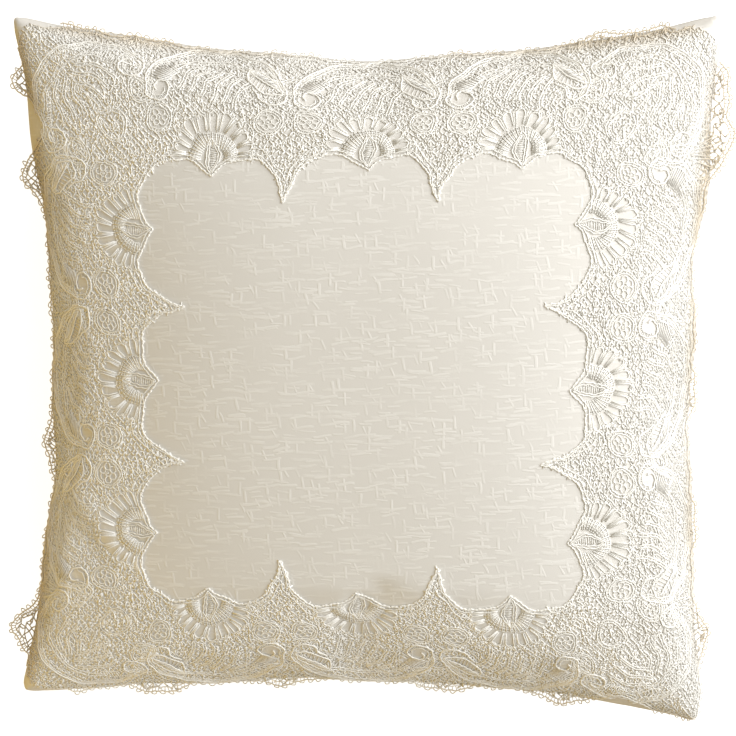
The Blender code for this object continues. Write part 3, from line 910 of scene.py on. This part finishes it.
def net_bars():
    """A slanting net with uneven knots over the whole cloth: K bars of 2 points."""
    reach = LACE_EDGE + NET_MARGIN
    rows, columns = int(2 * reach / NET_ALONG), int(2 * reach / NET_ACROSS)
    j, i = np.meshgrid(np.arange(rows), np.arange(columns), indexing="ij")
    x = (i + 0.5 * (j % 2)) * NET_ACROSS - reach
    y = j * NET_ALONG - reach
    knots = np.stack([x, y], -1) + RNG.uniform(-NET_JITTER, NET_JITTER, x.shape + (2,))
    odd = (j[:-1] % 2)[..., None] == 1
    right = np.where(odd, np.roll(knots[1:], -1, 1), knots[1:])
    left = np.where(odd, knots[1:], np.roll(knots[1:], 1, 1))
    rising, falling, ties = [
        np.stack(ends, 2)[:, 1:-1].reshape(-1, 2, 2)
        for ends in ((knots[:-1], right), (knots[:-1], left), (knots[:-2], knots[2:]))
    ]
    return np.concatenate([rising, falling, ties[RNG.random(len(ties)) < NET_TIES]])


NET = net_bars()


def net_kept(middles, name):
    """Where the net shows: not in the fans, the flowers, the leaves, the scrolls or the stems."""
    s, out = along_and_out(middles, name)
    d = out - WINDOW
    unit = s - PITCH * np.clip(np.round(s / PITCH), -1, 1)
    turn = np.degrees(np.arctan2(d - FAN_ROOT[1], unit))
    fan = np.hypot(unit, d - FAN_ROOT[1]) < fan_reach(turn, 14.0, 18.0)
    oval = np.hypot(np.abs(unit) - FLOWER[0], (d - FLOWER[1]) / FLOWER_TALL) < 4.3
    leaf = np.hypot(unit - 17.5, d - 34.5) < 4.6
    scroll = np.hypot(unit + 20.0, d - 26.6) < 4.0
    stem = np.hypot((unit + 18.0) / 1.2, d - 34.8) < 3.6
    in_unit = np.abs(s) < 1.5 * PITCH
    return ~(fan | (oval | leaf | scroll | stem) & in_unit)


def make_lace(name):
    """One run of lace: its cords, bars and net as threads on the stuffed front."""
    threads = Threads()
    pattern = run_pattern(name)
    for points, kind in pattern.lines:
        keep = own_share(points, name)
        for start, end in runs_of(keep):
            part = points[start:end]
            if len(part) < 3:
                continue
            if kind == EDGE:
                knots = RNG.uniform(0.8, 1.15, len(part))
                swell = np.sin(np.arange(len(part)) * 2 * np.pi / EDGE_BEAD)
                radius = (EDGE_RADIUS + EDGE_SWELL * swell) * knots
                threads.lay(part[None], EDGE_HEIGHT, radius[None], sides=5)
                continue
            radius, height = GAUGE[kind]
            threads.lay(part[None], height, radius, sides=5 if kind == CORD else 4)
    for lines, kind in pattern.bars:
        keep = own_share(lines, name).all(1)
        if keep.any():
            radius, height = GAUGE[kind]
            threads.lay(lines[keep], height, radius, sides=3)
    middles = NET.mean(1)
    bars = NET[own_share(middles, name, NET_SHORT) & net_kept(middles, name)]
    lift = RNG.uniform(0.04, 0.26, (len(bars), 2))
    over = np.abs(bars).max((1, 2)) > TURN + 1
    radius = RNG.uniform(0.24, 0.38, (len(bars), 1)) * np.where(over, 1.15, 1.0)[:, None]
    shown = ~over | (np.sin(HOLE_WAVE * bars.mean(1)).prod(1) < HOLE_LEVEL)
    threads.lay(bars[shown], lift[shown], radius[shown], sides=3, flatten=0.75)
    points, quads, triangles = threads.arrays()
    made = mesh_object(name + "_threads", points, quads, triangles)
    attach(made, "pillow")
    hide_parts(name)
    made.data.materials.append(LACE)
    return made


# ---------------------------------------------------------------- node groups and materials


def fill_inputs(tree, node, inputs):
    """Links each input that another node's output feeds, and sets the rest."""
    for name, value in inputs.items():
        if isinstance(value, bpy.types.NodeSocket):
            tree.links.new(value, node.inputs[name])
        else:
            node.inputs[name].default_value = value


def add(tree, kind, inputs=(), **settings):
    """A node with its settings and inputs; an input is a value or another node's output."""
    made = tree.nodes.new("ShaderNode" + kind)
    for name, value in settings.items():
        setattr(made, name, value)
    fill_inputs(tree, made, dict(inputs))
    return made


def group_tree(name, takes, gives):
    """An empty node group with named inputs and outputs, and its input and output nodes."""
    tree = bpy.data.node_groups.new(name, "ShaderNodeTree")
    for label, value in takes.items():
        kind = "NodeSocketVector" if value is None else "NodeSocketFloat"
        socket = tree.interface.new_socket(label, in_out="INPUT", socket_type=kind)
        if value is not None:
            socket.default_value = value
    for label in gives:
        tree.interface.new_socket(label, in_out="OUTPUT", socket_type="NodeSocketFloat")
    return tree, tree.nodes.new("NodeGroupInput").outputs, tree.nodes.new("NodeGroupOutput").inputs


def calculate(tree, operation, *values, clamp=False):
    """The result of one sum on values or outputs."""
    made = add(tree, "Math", dict(enumerate(values)), operation=operation, use_clamp=clamp)
    return made.outputs[0]


def make_unevenness():
    """Tone: 1 with soft darker and lighter patches, Amount deep, Size metres wide."""
    sizes = {"Size": 0.03, "Amount": 0.1}
    tree, takes, gives = group_tree("unevenness", {"Vector": None, **sizes}, ["Tone"])
    scale = calculate(tree, "DIVIDE", 1.0, takes["Size"])
    noise = add(tree, "TexNoise", {"Vector": takes["Vector"], "Scale": scale, "Detail": 4.0})
    centred = calculate(tree, "SUBTRACT", noise.outputs["Fac"], 0.5)
    tone = calculate(tree, "MULTIPLY_ADD", centred, takes["Amount"], 1.0)
    tree.links.new(tone, gives["Tone"])
    return tree


def make_weave():
    """Height: the rise and fall of threads that cross, Pitch metres apart, over two sine waves."""
    tree, takes, gives = group_tree("weave", {"Vector": None, "Pitch": 0.0004}, ["Height"])
    parts = add(tree, "SeparateXYZ", {"Vector": takes["Vector"]})
    turn = calculate(tree, "DIVIDE", 2 * math.pi, takes["Pitch"])
    waves = [
        calculate(tree, "SINE", calculate(tree, "MULTIPLY", parts.outputs[axis], turn))
        for axis in ("X", "Y")
    ]
    product = calculate(tree, "MULTIPLY", *waves)
    tree.links.new(calculate(tree, "MULTIPLY_ADD", product, 0.5, 0.5), gives["Height"])
    return tree


def make_dashes():
    """Streaks: short broken lines, one round each Voronoi point of cells Length by Height metres.
    Each is Thickness across, fades at its ends, and is bent by noise."""
    sizes = {"Length": 0.012, "Height": 0.0035, "Thickness": 0.0004, "Reach": 0.4, "Offset": 0.0}
    tree, takes, gives = group_tree("dashes", {"Vector": None, **sizes}, ["Streaks"])
    bend = add(tree, "TexNoise", {"Vector": takes["Vector"], "Scale": 110.0, "Detail": 1.0})
    centred = calculate(tree, "SUBTRACT", bend.outputs["Fac"], 0.5)
    shift = calculate(tree, "MULTIPLY", centred, 0.0024)
    parts = add(tree, "SeparateXYZ", {"Vector": takes["Vector"]})
    along = calculate(tree, "DIVIDE", parts.outputs["X"], takes["Length"])
    moved = calculate(tree, "ADD", parts.outputs["Y"], shift)
    across = calculate(tree, "DIVIDE", moved, takes["Height"])
    along = calculate(tree, "ADD", along, takes["Offset"])
    across = calculate(tree, "ADD", across, takes["Offset"])
    place = add(tree, "CombineXYZ", {"X": along, "Y": across}).outputs[0]
    spacing = {"Vector": place, "Scale": 1.0, "Randomness": 1.0}
    cells = add(tree, "TexVoronoi", spacing, voronoi_dimensions="2D").outputs["Position"]
    off = add(tree, "VectorMath", {0: place, 1: cells}, operation="SUBTRACT").outputs[0]
    off = add(tree, "SeparateXYZ", {"Vector": off}).outputs
    wide = calculate(tree, "MULTIPLY", calculate(tree, "ABSOLUTE", off["Y"]), takes["Height"])
    wide = calculate(tree, "DIVIDE", wide, takes["Thickness"])
    body = calculate(tree, "SUBTRACT", 1.6, wide, clamp=True)
    end = calculate(tree, "DIVIDE", calculate(tree, "ABSOLUTE", off["X"]), takes["Reach"])
    end = calculate(tree, "MULTIPLY", calculate(tree, "SUBTRACT", 1.0, end), 4.0, clamp=True)
    tree.links.new(calculate(tree, "MULTIPLY", body, end), gives["Streaks"])
    return tree


UNEVEN, WEAVE, DASHES = make_unevenness(), make_weave(), make_dashes()


def use(tree, group, inputs):
    """The outputs of a node group with these inputs."""
    made = tree.nodes.new("ShaderNodeGroup")
    made.node_tree = group
    fill_inputs(tree, made, inputs)
    return made.outputs


def blend(tree, factor, one, other):
    """A colour between two, by a factor from 0 to 1."""
    mixed = add(tree, "Mix", {"Factor": factor, "A": one, "B": other}, data_type="RGBA")
    return mixed.outputs["Result"]


def shade(tree, colour, tone):
    """A colour times a tone."""
    mixed = add(tree, "VectorMath", {0: colour, "Scale": tone}, operation="SCALE")
    return mixed.outputs[0]


def begin(name, roughness, **inputs):
    """A new material, its tree and its main shader, and the place on the object."""
    made = bpy.data.materials.new(name)
    made.use_nodes = True
    tree = made.node_tree
    shader = tree.nodes["Principled BSDF"]
    shader.inputs["Roughness"].default_value = roughness
    for label, value in inputs.items():
        shader.inputs[label.replace("_", " ")].default_value = value
    place = add(tree, "TexCoord").outputs["Object"]
    return made, tree, shader, place


def relief(tree, shader, height, distance):
    """Raises the finish by a height from 0 to 1, times a distance in metres."""
    bump = add(tree, "Bump", {"Height": height, "Distance": distance})
    tree.links.new(bump.outputs["Normal"], shader.inputs["Normal"])


def cloth_material(name, colour, roughness, pitch, relief_depth=0.00005, **inputs):
    """Woven cloth: a colour with soft patches over a fine weave."""
    made, tree, shader, place = begin(name, roughness, **inputs)
    tone = use(tree, UNEVEN, {"Vector": place, "Size": 0.03, "Amount": 0.12})["Tone"]
    tree.links.new(shade(tree, colour, tone), shader.inputs["Base Color"])
    threads = use(tree, WEAVE, {"Vector": place, "Pitch": pitch})["Height"]
    relief(tree, shader, threads, relief_depth)
    return made


# The satin's layers of streaks: turn in degrees, length, spacing and thickness in metres, reach as a
# share of the length, a shift of the cells, and strength
STREAK_LAYERS = (
    (0, 0.0130, 0.0050, 0.00044, 0.44, 0.0, 0.55),
    (-7, 0.0090, 0.0042, 0.00034, 0.38, 5.3, 0.9),
    (0, 0.0060, 0.0052, 0.00024, 0.40, 8.1, 0.7),
    (86, 0.0090, 0.0058, 0.00036, 0.28, 2.1, 0.8),
    (64, 0.0100, 0.0090, 0.00026, 0.20, 9.7, 0.7),
)


def satin_material():
    """Crackled satin: ivory with lighter broken streaks that stand a little proud."""
    made, tree, shader, place = begin("crackle satin", 0.5, Sheen_Weight=0.15, Sheen_Roughness=0.4)
    streaks = 0.0
    for turn, length, height, thickness, reach, offset, strength in STREAK_LAYERS:
        turned = add(tree, "Mapping", {"Vector": place, "Rotation": (0, 0, math.radians(turn))})
        sizes = {"Length": length, "Height": height, "Thickness": thickness, "Reach": reach}
        sizes |= {"Vector": turned.outputs[0], "Offset": offset}
        layer = use(tree, DASHES, sizes)["Streaks"]
        streaks = calculate(tree, "MAXIMUM", streaks, calculate(tree, "MULTIPLY", layer, strength))
    patchy = use(tree, UNEVEN, {"Vector": place, "Size": 0.010, "Amount": 5.0})["Tone"]
    patchy = calculate(tree, "MAXIMUM", patchy, 0.15)
    streaks = calculate(tree, "MULTIPLY", streaks, patchy, clamp=True)
    tone = use(tree, UNEVEN, {"Vector": place, "Size": 0.05, "Amount": 0.06})["Tone"]
    colour = blend(tree, streaks, (0.757, 0.735, 0.702, 1), (0.822, 0.802, 0.772, 1))
    tree.links.new(shade(tree, colour, tone), shader.inputs["Base Color"])
    rough = calculate(tree, "MULTIPLY_ADD", streaks, -0.12, 0.52)
    tree.links.new(rough, shader.inputs["Roughness"])
    threads = use(tree, WEAVE, {"Vector": place, "Pitch": 0.00035})["Height"]
    height = calculate(tree, "MULTIPLY_ADD", threads, 0.2, streaks)
    relief(tree, shader, height, 0.00006)
    return made


# The seam's distance from the middle, at mid side and at a corner, and how far past it the lace's
# painted shade fades in
FREE_RIM = (0.1115, 0.122)
PAINTED_SHADE_FADE = 0.004


def lace_material():
    """Glossy embroidery thread: warm white with fine stitches across it, and painted shade past the
    seam: where the lace hangs over the edge its colour turns a darker tan."""
    made, tree, shader, place = begin("lace thread", 0.42, Sheen_Weight=0.3, Sheen_Roughness=0.35)
    tone = use(tree, UNEVEN, {"Vector": place, "Size": 0.02, "Amount": 0.12})["Tone"]
    fine = use(tree, UNEVEN, {"Vector": place, "Size": 0.0006, "Amount": 0.2})["Tone"]
    both = calculate(tree, "MULTIPLY", tone, fine)
    parts = add(tree, "SeparateXYZ", {"Vector": place}).outputs
    x = calculate(tree, "ABSOLUTE", parts["X"])
    y = calculate(tree, "ABSOLUTE", parts["Y"])
    along = calculate(tree, "DIVIDE", calculate(tree, "MINIMUM", x, y), FREE_RIM[1])
    bend = FREE_RIM[1] - FREE_RIM[0]
    rim = calculate(tree, "MULTIPLY_ADD", calculate(tree, "POWER", along, 3.0), bend, FREE_RIM[0])
    past = calculate(tree, "SUBTRACT", calculate(tree, "MAXIMUM", x, y), rim)
    # Painted shade: past the seam the lace's colour blends to a darker tan that stands in for shade
    painted_shade = calculate(tree, "DIVIDE", past, PAINTED_SHADE_FADE, clamp=True)
    colour = blend(tree, painted_shade, (0.98, 0.965, 0.93, 1), (0.76, 0.67, 0.53, 1))
    tree.links.new(shade(tree, colour, both), shader.inputs["Base Color"])
    relief(tree, shader, fine, 0.0001)
    return made


def wadding_material():
    """Tangled white fibre, in small soft lumps."""
    made, tree, shader, place = begin("wadding", 0.95)
    tone = use(tree, UNEVEN, {"Vector": place, "Size": 0.004, "Amount": 0.3})["Tone"]
    tree.links.new(shade(tree, (0.86, 0.86, 0.85), tone), shader.inputs["Base Color"])
    relief(tree, shader, tone, 0.001)
    return made


def hard_material(name, colour, roughness, metallic, patch, depth):
    """Nylon or metal: a colour and a roughness with small patches, patch metres wide."""
    made, tree, shader, place = begin(name, roughness, Metallic=metallic)
    tone = use(tree, UNEVEN, {"Vector": place, "Size": patch, "Amount": 0.25})["Tone"]
    tree.links.new(shade(tree, colour, tone), shader.inputs["Base Color"])
    rough = calculate(tree, "MULTIPLY", tone, roughness)
    tree.links.new(rough, shader.inputs["Roughness"])
    relief(tree, shader, tone, depth)
    return made


SATIN_CLOTH = satin_material()
LACE = lace_material()
BACKING = cloth_material("backing satin", (0.80, 0.765, 0.70), 0.45, 0.0003, Sheen_Weight=0.2)
COTTON = cloth_material("case cotton", (0.82, 0.80, 0.75), 0.85, 0.0005)
WADDING = wadding_material()
TAPE = cloth_material("zip tape", (0.74, 0.69, 0.60), 0.7, 0.0006, relief_depth=0.00012)
NYLON = hard_material("zip coil nylon", (0.80, 0.76, 0.67), 0.4, 0.0, 0.004, 0.00003)
NICKEL = hard_material("zip metal", (0.72, 0.70, 0.66), 0.28, 1.0, 0.002, 0.00004)


# ---------------------------------------------------------------- the cover's panels


def finish_piece(made, body, node, material):
    """Puts a piece on the body it rides, hides the CAD node it stands for and gives it its material."""
    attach(made, body)
    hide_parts(node)
    made.data.materials.append(material)


def sheet_piece(name, node, points, outwards, thickness, material):
    """A sheet of cloth from a grid of points on its outer face."""
    normals = grid_normals(points) * outwards
    both, quads = thick_grid(points, normals, thickness)
    if outwards < 0:
        quads = quads[:, ::-1]
    made = mesh_object(name, both, quads)
    finish_piece(made, "pillow", node, material)
    return made


# The zip's line on the back, as the CAD solids have it
ZIP_FROM_SEAM = 0.0177
ZIP_V = ZIP_FROM_SEAM / FLAT_HALF - 1
STEP = 1e-4
ZIP_CENTRE = back(0.0, ZIP_V)
ZIP_ACROSS = (back(0.0, ZIP_V - STEP) - back(0.0, ZIP_V + STEP)) / (2 * STEP)
ACROSS_LENGTH = float(np.linalg.norm(ZIP_ACROSS))
ZIP_GAP = 0.0003
PANEL_GAP = 0.00025
SLOT_WIDTH = 0.010
SLOT_HALF_LENGTH = 0.066
SLOT_TAPER = 0.007
TAPE_REACH = SLOT_WIDTH / 2 + 0.005
TAPE_V = (TAPE_REACH + ZIP_GAP) / ACROSS_LENGTH
TAPE_FADE_V = (1 + ZIP_V) * 0.95
COLUMN_U = np.linspace(0, 1, 2001)
COLUMN_X = back(COLUMN_U, np.full_like(COLUMN_U, ZIP_V))[:, 0]
FLAT_U = float(np.interp(SLOT_HALF_LENGTH + 2 * SLOT_TAPER, COLUMN_X, COLUMN_U))
CLOTH_END_U = (FLAT_U + 1) / 2


def band_share(u, v):
    """How far the back is held to the zip's flat band: 1 on it, 0 away from it."""
    along = 1 - smooth_step(FLAT_U, CLOTH_END_U, np.abs(u))
    return along * (1 - smooth_step(TAPE_V, TAPE_FADE_V, np.abs(v - ZIP_V)))


def cover_back(u, v):
    """The back with its folds and with the flat band along the zip."""
    point = back(u, v)
    share = band_share(u, v)[..., None]
    band = ZIP_CENTRE + (ZIP_V - v)[..., None] * ZIP_ACROSS
    band[..., 0] = point[..., 0]
    shift = sampled(BACK_SHIFT, u, v) + creep(u, v) + puckers(u, v)
    made = point * (1 - share) + band * share + shift * (1 - share)
    made[..., 2] = np.maximum(made[..., 2], 0)
    return made


def zip_edge(u):
    """Half the slot's width at a column, as a share of v: full along the zip, narrow past its ends."""
    x = np.interp(np.abs(u), COLUMN_U, COLUMN_X)
    open_share = 1 - smooth_step(SLOT_HALF_LENGTH, SLOT_HALF_LENGTH + SLOT_TAPER, x)
    return (PANEL_GAP + (SLOT_WIDTH - PANEL_GAP) * open_share) / 2 / ACROSS_LENGTH


def panel_points(way, rows):
    """A grid of one back panel: t from 0 at the slot to 1 at the band's end and 2 at the seam."""
    places = spread(181)
    t = np.concatenate([[0, 0.35, 0.7], 1 + np.linspace(0, 1, rows) ** 0.8])
    u, t = np.meshgrid(places, t)
    edge = ZIP_V + way * zip_edge(u)
    band = ZIP_V + way * TAPE_V
    v = np.where(t <= 1, edge + (band - edge) * t, band + (way - band) * (t - 1))
    return cover_back(u, np.clip(v, -1, 1))


def make_cover():
    """The front, at every second point of its fine grid, and the back on either side of the zip."""
    sheet_piece(
        "front_cloth",
        "front_panel",
        FINE_FRONT[::2, ::2],
        1,
        FABRIC,
        SATIN_CLOTH,
    )
    sheet_piece(
        "back_cloth_upper",
        "back_panel_upper",
        panel_points(1, 120),
        -1,
        FABRIC,
        BACKING,
    )
    sheet_piece(
        "back_cloth_lower",
        "back_panel_lower",
        panel_points(-1, 16),
        1,
        FABRIC,
        BACKING,
    )


# ---------------------------------------------------------------- the insert

CASE_FABRIC = 0.0004
CASE_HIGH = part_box("insert_case_front")[1]
CASE_HALF = CASE_HIGH.x
CASE_CROWN = CASE_HIGH.z - SEAM_HEIGHT
CASE_LIFT = CASE_FABRIC + 0.00015
CASE_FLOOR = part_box("insert_case_back")[0].z
FILLING_LOW, FILLING_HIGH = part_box("insert_filling")
FILLING_HALF = FILLING_HIGH.x
FILLING_CROWN = FILLING_HIGH.z - SEAM_HEIGHT
INSERT_SHARE = 0.9


def insert_folds(field, u, v):
    """The cover's own folds, felt by the insert where it lies under them."""
    u, v = u * INSERT_SHARE, v * INSERT_SHARE
    return sampled(field, u, v) + creep(u, v) + puckers(u, v)


def insert_surfaces(count, half, rise, lift, floor):
    """The top and the underside of a stuffed square in the cover, moved with the cover's folds, which
    leave it still along the zip's flat band."""
    places = spread(count)
    u, v = np.meshgrid(places, places)
    top = front(u, v, half, rise, lift) + insert_folds(FRONT_SHIFT, u, v)
    under = back(u, v, half, rise, lift, floor=floor)
    held = 1 - band_share(u * INSERT_SHARE, v * INSERT_SHARE)[..., None]
    under = under + insert_folds(BACK_SHIFT, u, v) * held
    under[..., 2] = np.maximum(under[..., 2], floor)
    return top, under


def make_insert():
    """The two panels of the insert's case, and the wadding in one closed skin inside them."""
    top, under = insert_surfaces(121, CASE_HALF, CASE_CROWN, CASE_LIFT, CASE_FLOOR)
    for name, points, outwards in (("front", top, 1), ("back", under, -1)):
        node = "insert_case_" + name
        sheet_piece(
            node + "_cloth", node, points, outwards, CASE_FABRIC, COTTON
        )
    cells = 81
    top, under = insert_surfaces(cells, FILLING_HALF, FILLING_CROWN, 0.0, FILLING_LOW.z)
    under_numbers, rim = bag_numbers(cells)[1:]
    top[rim] = under[rim] = (top[rim] + under[rim]) / 2
    points = np.concatenate([top.reshape(-1, 3), under[~rim]])
    made = mesh_object("insert_wadding", points, bag_quads(under_numbers))
    finish_piece(made, "pillow", "insert_filling", WADDING)


# ---------------------------------------------------------------- the zip

ZIP_SLOPE = math.atan2(-ZIP_ACROSS[2], -ZIP_ACROSS[1])
COIL_MIDDLE = 0.0017
COIL_LENGTH = 0.124
COIL_HALF_WIDTH = 0.001
COIL_HALF_THICKNESS = 0.0008
COIL_WIRE = 0.00028
COIL_PITCH = 0.00125
TAPE_MIDDLE = -0.00105


def from_zip(points):
    """Points of the zip's own frame (along, towards the lower edge, out of the cloth) in the world."""
    turn = np.array(Matrix.Rotation(math.pi - abs(ZIP_SLOPE), 3, "X"))
    return points @ turn.T + ZIP_CENTRE


def make_coil(node, way):
    """A row of the zip: a wire wound as x = pitch * turn, y = a cos, z = b sin."""
    turns = COIL_LENGTH / COIL_PITCH - 1
    a = np.linspace(0, 2 * np.pi * turns, int(turns * 14))
    x = COIL_PITCH * a / (2 * np.pi) - COIL_LENGTH / 2 + COIL_PITCH / 2
    wide, deep = COIL_HALF_WIDTH - COIL_WIRE, COIL_HALF_THICKNESS - COIL_WIRE
    line = np.stack([x, way * (COIL_MIDDLE - wide * np.cos(a)), TAPE_MIDDLE + deep * np.sin(a)], -1)
    centre = np.stack([x, np.full_like(x, way * COIL_MIDDLE), np.full_like(x, TAPE_MIDDLE)], -1)
    outwards = line - centre
    outwards /= np.linalg.norm(outwards, axis=1, keepdims=True)
    points, quads, triangles = tubes(line[None], outwards[None], COIL_WIRE, sides=6)
    made = mesh_object(node + "_winding", from_zip(points), quads, triangles)
    finish_piece(made, "pillow", node, NYLON)
    return made


STITCH_PITCH = 0.0027
STITCH_HALF = 0.001
STITCH_OFF_SLOT = 0.0022
STITCH_RADIUS = 0.00016
STITCH_RISE = 0.00012
STITCH_LOW = 0.00002


def make_stitches():
    """Two rows of stitches that hold the tapes to the back, beside the slot."""
    threads = Threads()
    for way in (-1, 1):
        end = SLOT_HALF_LENGTH + STITCH_HALF
        middles = np.arange(-end, end, STITCH_PITCH)
        t = np.linspace(-1, 1, 7)
        x = middles[:, None] + t * STITCH_HALF
        y = np.full_like(x, way * (SLOT_WIDTH / 2 + STITCH_OFF_SLOT))
        z = STITCH_RISE * (1 - t**4) + STITCH_LOW + 0 * x
        lines = from_zip(np.stack([x, y, z], -1))
        outwards = from_zip(np.array([0.0, 0, 1])) - ZIP_CENTRE
        outwards = np.broadcast_to(outwards, lines.shape)
        threads.add(*tubes(lines, outwards, STITCH_RADIUS, sides=6))
    made = mesh_object("zip_stitches", *threads.arrays())
    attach(made, "pillow")
    made.data.materials.append(BACKING)


def repaint(node, material):
    """A CAD node that stays visible takes a better material."""
    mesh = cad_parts[node].data
    for index in range(len(mesh.materials)):
        mesh.materials[index] = material
    if not len(mesh.materials):
        mesh.materials.append(material)


make_cover()
make_insert()
make_coil("zip_coil_upper", -1)
make_coil("zip_coil_lower", 1)
make_stitches()
for node in ("zip_tape_upper", "zip_tape_lower"):
    repaint(node, TAPE)
for node in ("zip_stop_top_upper", "zip_stop_top_lower", "zip_stop_bottom", "zip_slider", "zip_pull"):
    repaint(node, NICKEL)
for lace_name in SIDES:
    make_lace(lace_name)


# ---------------------------------------------------------------- camera, light and floor

TILT = math.radians(6.0)
LEAN = math.radians(4.55)
ROLL = math.radians(0.35)
DISTANCE = 0.9
LENS = 123.6
RISE = 0.0102
LOOKS_AT = Vector((0.0, 0.0, 0.045))


def make_camera():
    """Nearly straight above: leaning LEAN to the right and TILT to the upper edge, and rolled by ROLL."""
    data = bpy.data.cameras.new("camera")
    camera = bpy.data.objects.new("camera", data)
    bpy.context.scene.collection.objects.link(camera)
    bpy.context.scene.camera = camera
    z = Vector((math.sin(LEAN), math.sin(TILT), 0))
    z.z = math.sqrt(1 - z.length_squared)
    x = Vector((0, 1, 0)).cross(z).normalized()
    y = z.cross(x)
    x, y = x * math.cos(ROLL) + y * math.sin(ROLL), y * math.cos(ROLL) - x * math.sin(ROLL)
    turn = Matrix((x, y, z)).transposed().to_4x4()
    camera.matrix_world = Matrix.Translation(LOOKS_AT + DISTANCE * z) @ turn
    data.lens = LENS
    data.shift_y = RISE
    data.clip_end = 10


def area_light(name, location, size, power, colour):
    """A square lamp that faces the place where the pillow lies."""
    data = bpy.data.lights.new(name, "AREA")
    data.size = size
    data.energy = power
    data.color = colour
    light = bpy.data.objects.new(name, data)
    light.location = location
    light.rotation_mode = "QUATERNION"
    light.rotation_quaternion = (-Vector(location)).to_track_quat("-Z", "Y")
    bpy.context.scene.collection.objects.link(light)


def make_room():
    """Light from all round: bright on the right, golden low on the left, and plain from straight down."""
    world = bpy.data.worlds.new("room")
    world.use_nodes = True
    room = world.node_tree
    way = add(room, "SeparateXYZ", {"Vector": add(room, "TexCoord").outputs["Generated"]}).outputs
    side = calculate(room, "MULTIPLY_ADD", way["X"], 0.72, 0.5)
    side = calculate(room, "MULTIPLY_ADD", way["Y"], 0.2, side, clamp=True)
    above = blend(room, side, (0.20, 0.14, 0.02, 1), (1.31, 1.31, 1.27, 1))
    side = calculate(room, "MULTIPLY_ADD", way["X"], 0.6, 0.4)
    side = calculate(room, "MULTIPLY_ADD", way["Y"], 0.45, side, clamp=True)
    below = blend(room, side, (0.42, 0.25, 0.02, 1), (0.85, 0.84, 0.81, 1))
    straight_down = calculate(room, "MULTIPLY_ADD", way["Z"], -1.8, -0.6, clamp=True)
    below = blend(room, straight_down, below, (0.56, 0.52, 0.42, 1))
    height = calculate(room, "MULTIPLY_ADD", way["Z"], 2.2, 0.25, clamp=True)
    background = room.nodes["Background"].inputs
    room.links.new(blend(room, height, below, above), background["Color"])
    background["Strength"].default_value = 0.87
    bpy.context.scene.world = world


FLOOR_HALF = 3.0
FLOOR_GAP = 0.0001


def make_floor():
    """A pale floor, a hair below the back so that the two never meet in one plane. Only the camera sees
    it, and only from above, so the pillow can be looked at from below."""
    finish, tree, shader = begin("floor", 0.9)[:3]
    shader.inputs["Base Color"].default_value = (0.82, 0.82, 0.82, 1)
    shader.inputs["Emission Color"].default_value = (0.94, 0.97, 1.0, 1)
    shader.inputs["Emission Strength"].default_value = 0.75
    seen = add(tree, "LightPath").outputs["Is Camera Ray"]
    away = add(tree, "NewGeometry").outputs["Backfacing"]
    shown = calculate(tree, "MULTIPLY", seen, calculate(tree, "SUBTRACT", 1.0, away))
    clear = add(tree, "BsdfTransparent").outputs[0]
    both = add(tree, "MixShader", {0: shown, 1: clear, 2: shader.outputs[0]})
    tree.links.new(both.outputs[0], tree.nodes["Material Output"].inputs["Surface"])
    corners = FLOOR_HALF * np.array([(-1, -1, 0), (1, -1, 0), (1, 1, 0), (-1, 1, 0)])
    floor = mesh_object("floor", corners - (0, 0, FLOOR_GAP), [[0, 1, 2, 3]])
    floor.data.materials.append(finish)


make_camera()
area_light("key", (0.82, 0.42, 0.45), 0.9, 8.8, (1, 1, 1))
area_light("warm_fill", (-0.78, -0.40, 0.12), 0.3, 1.8, (1, 0.62, 0.04))
make_room()
bpy.context.scene.view_settings.view_transform = "Standard"
make_floor()
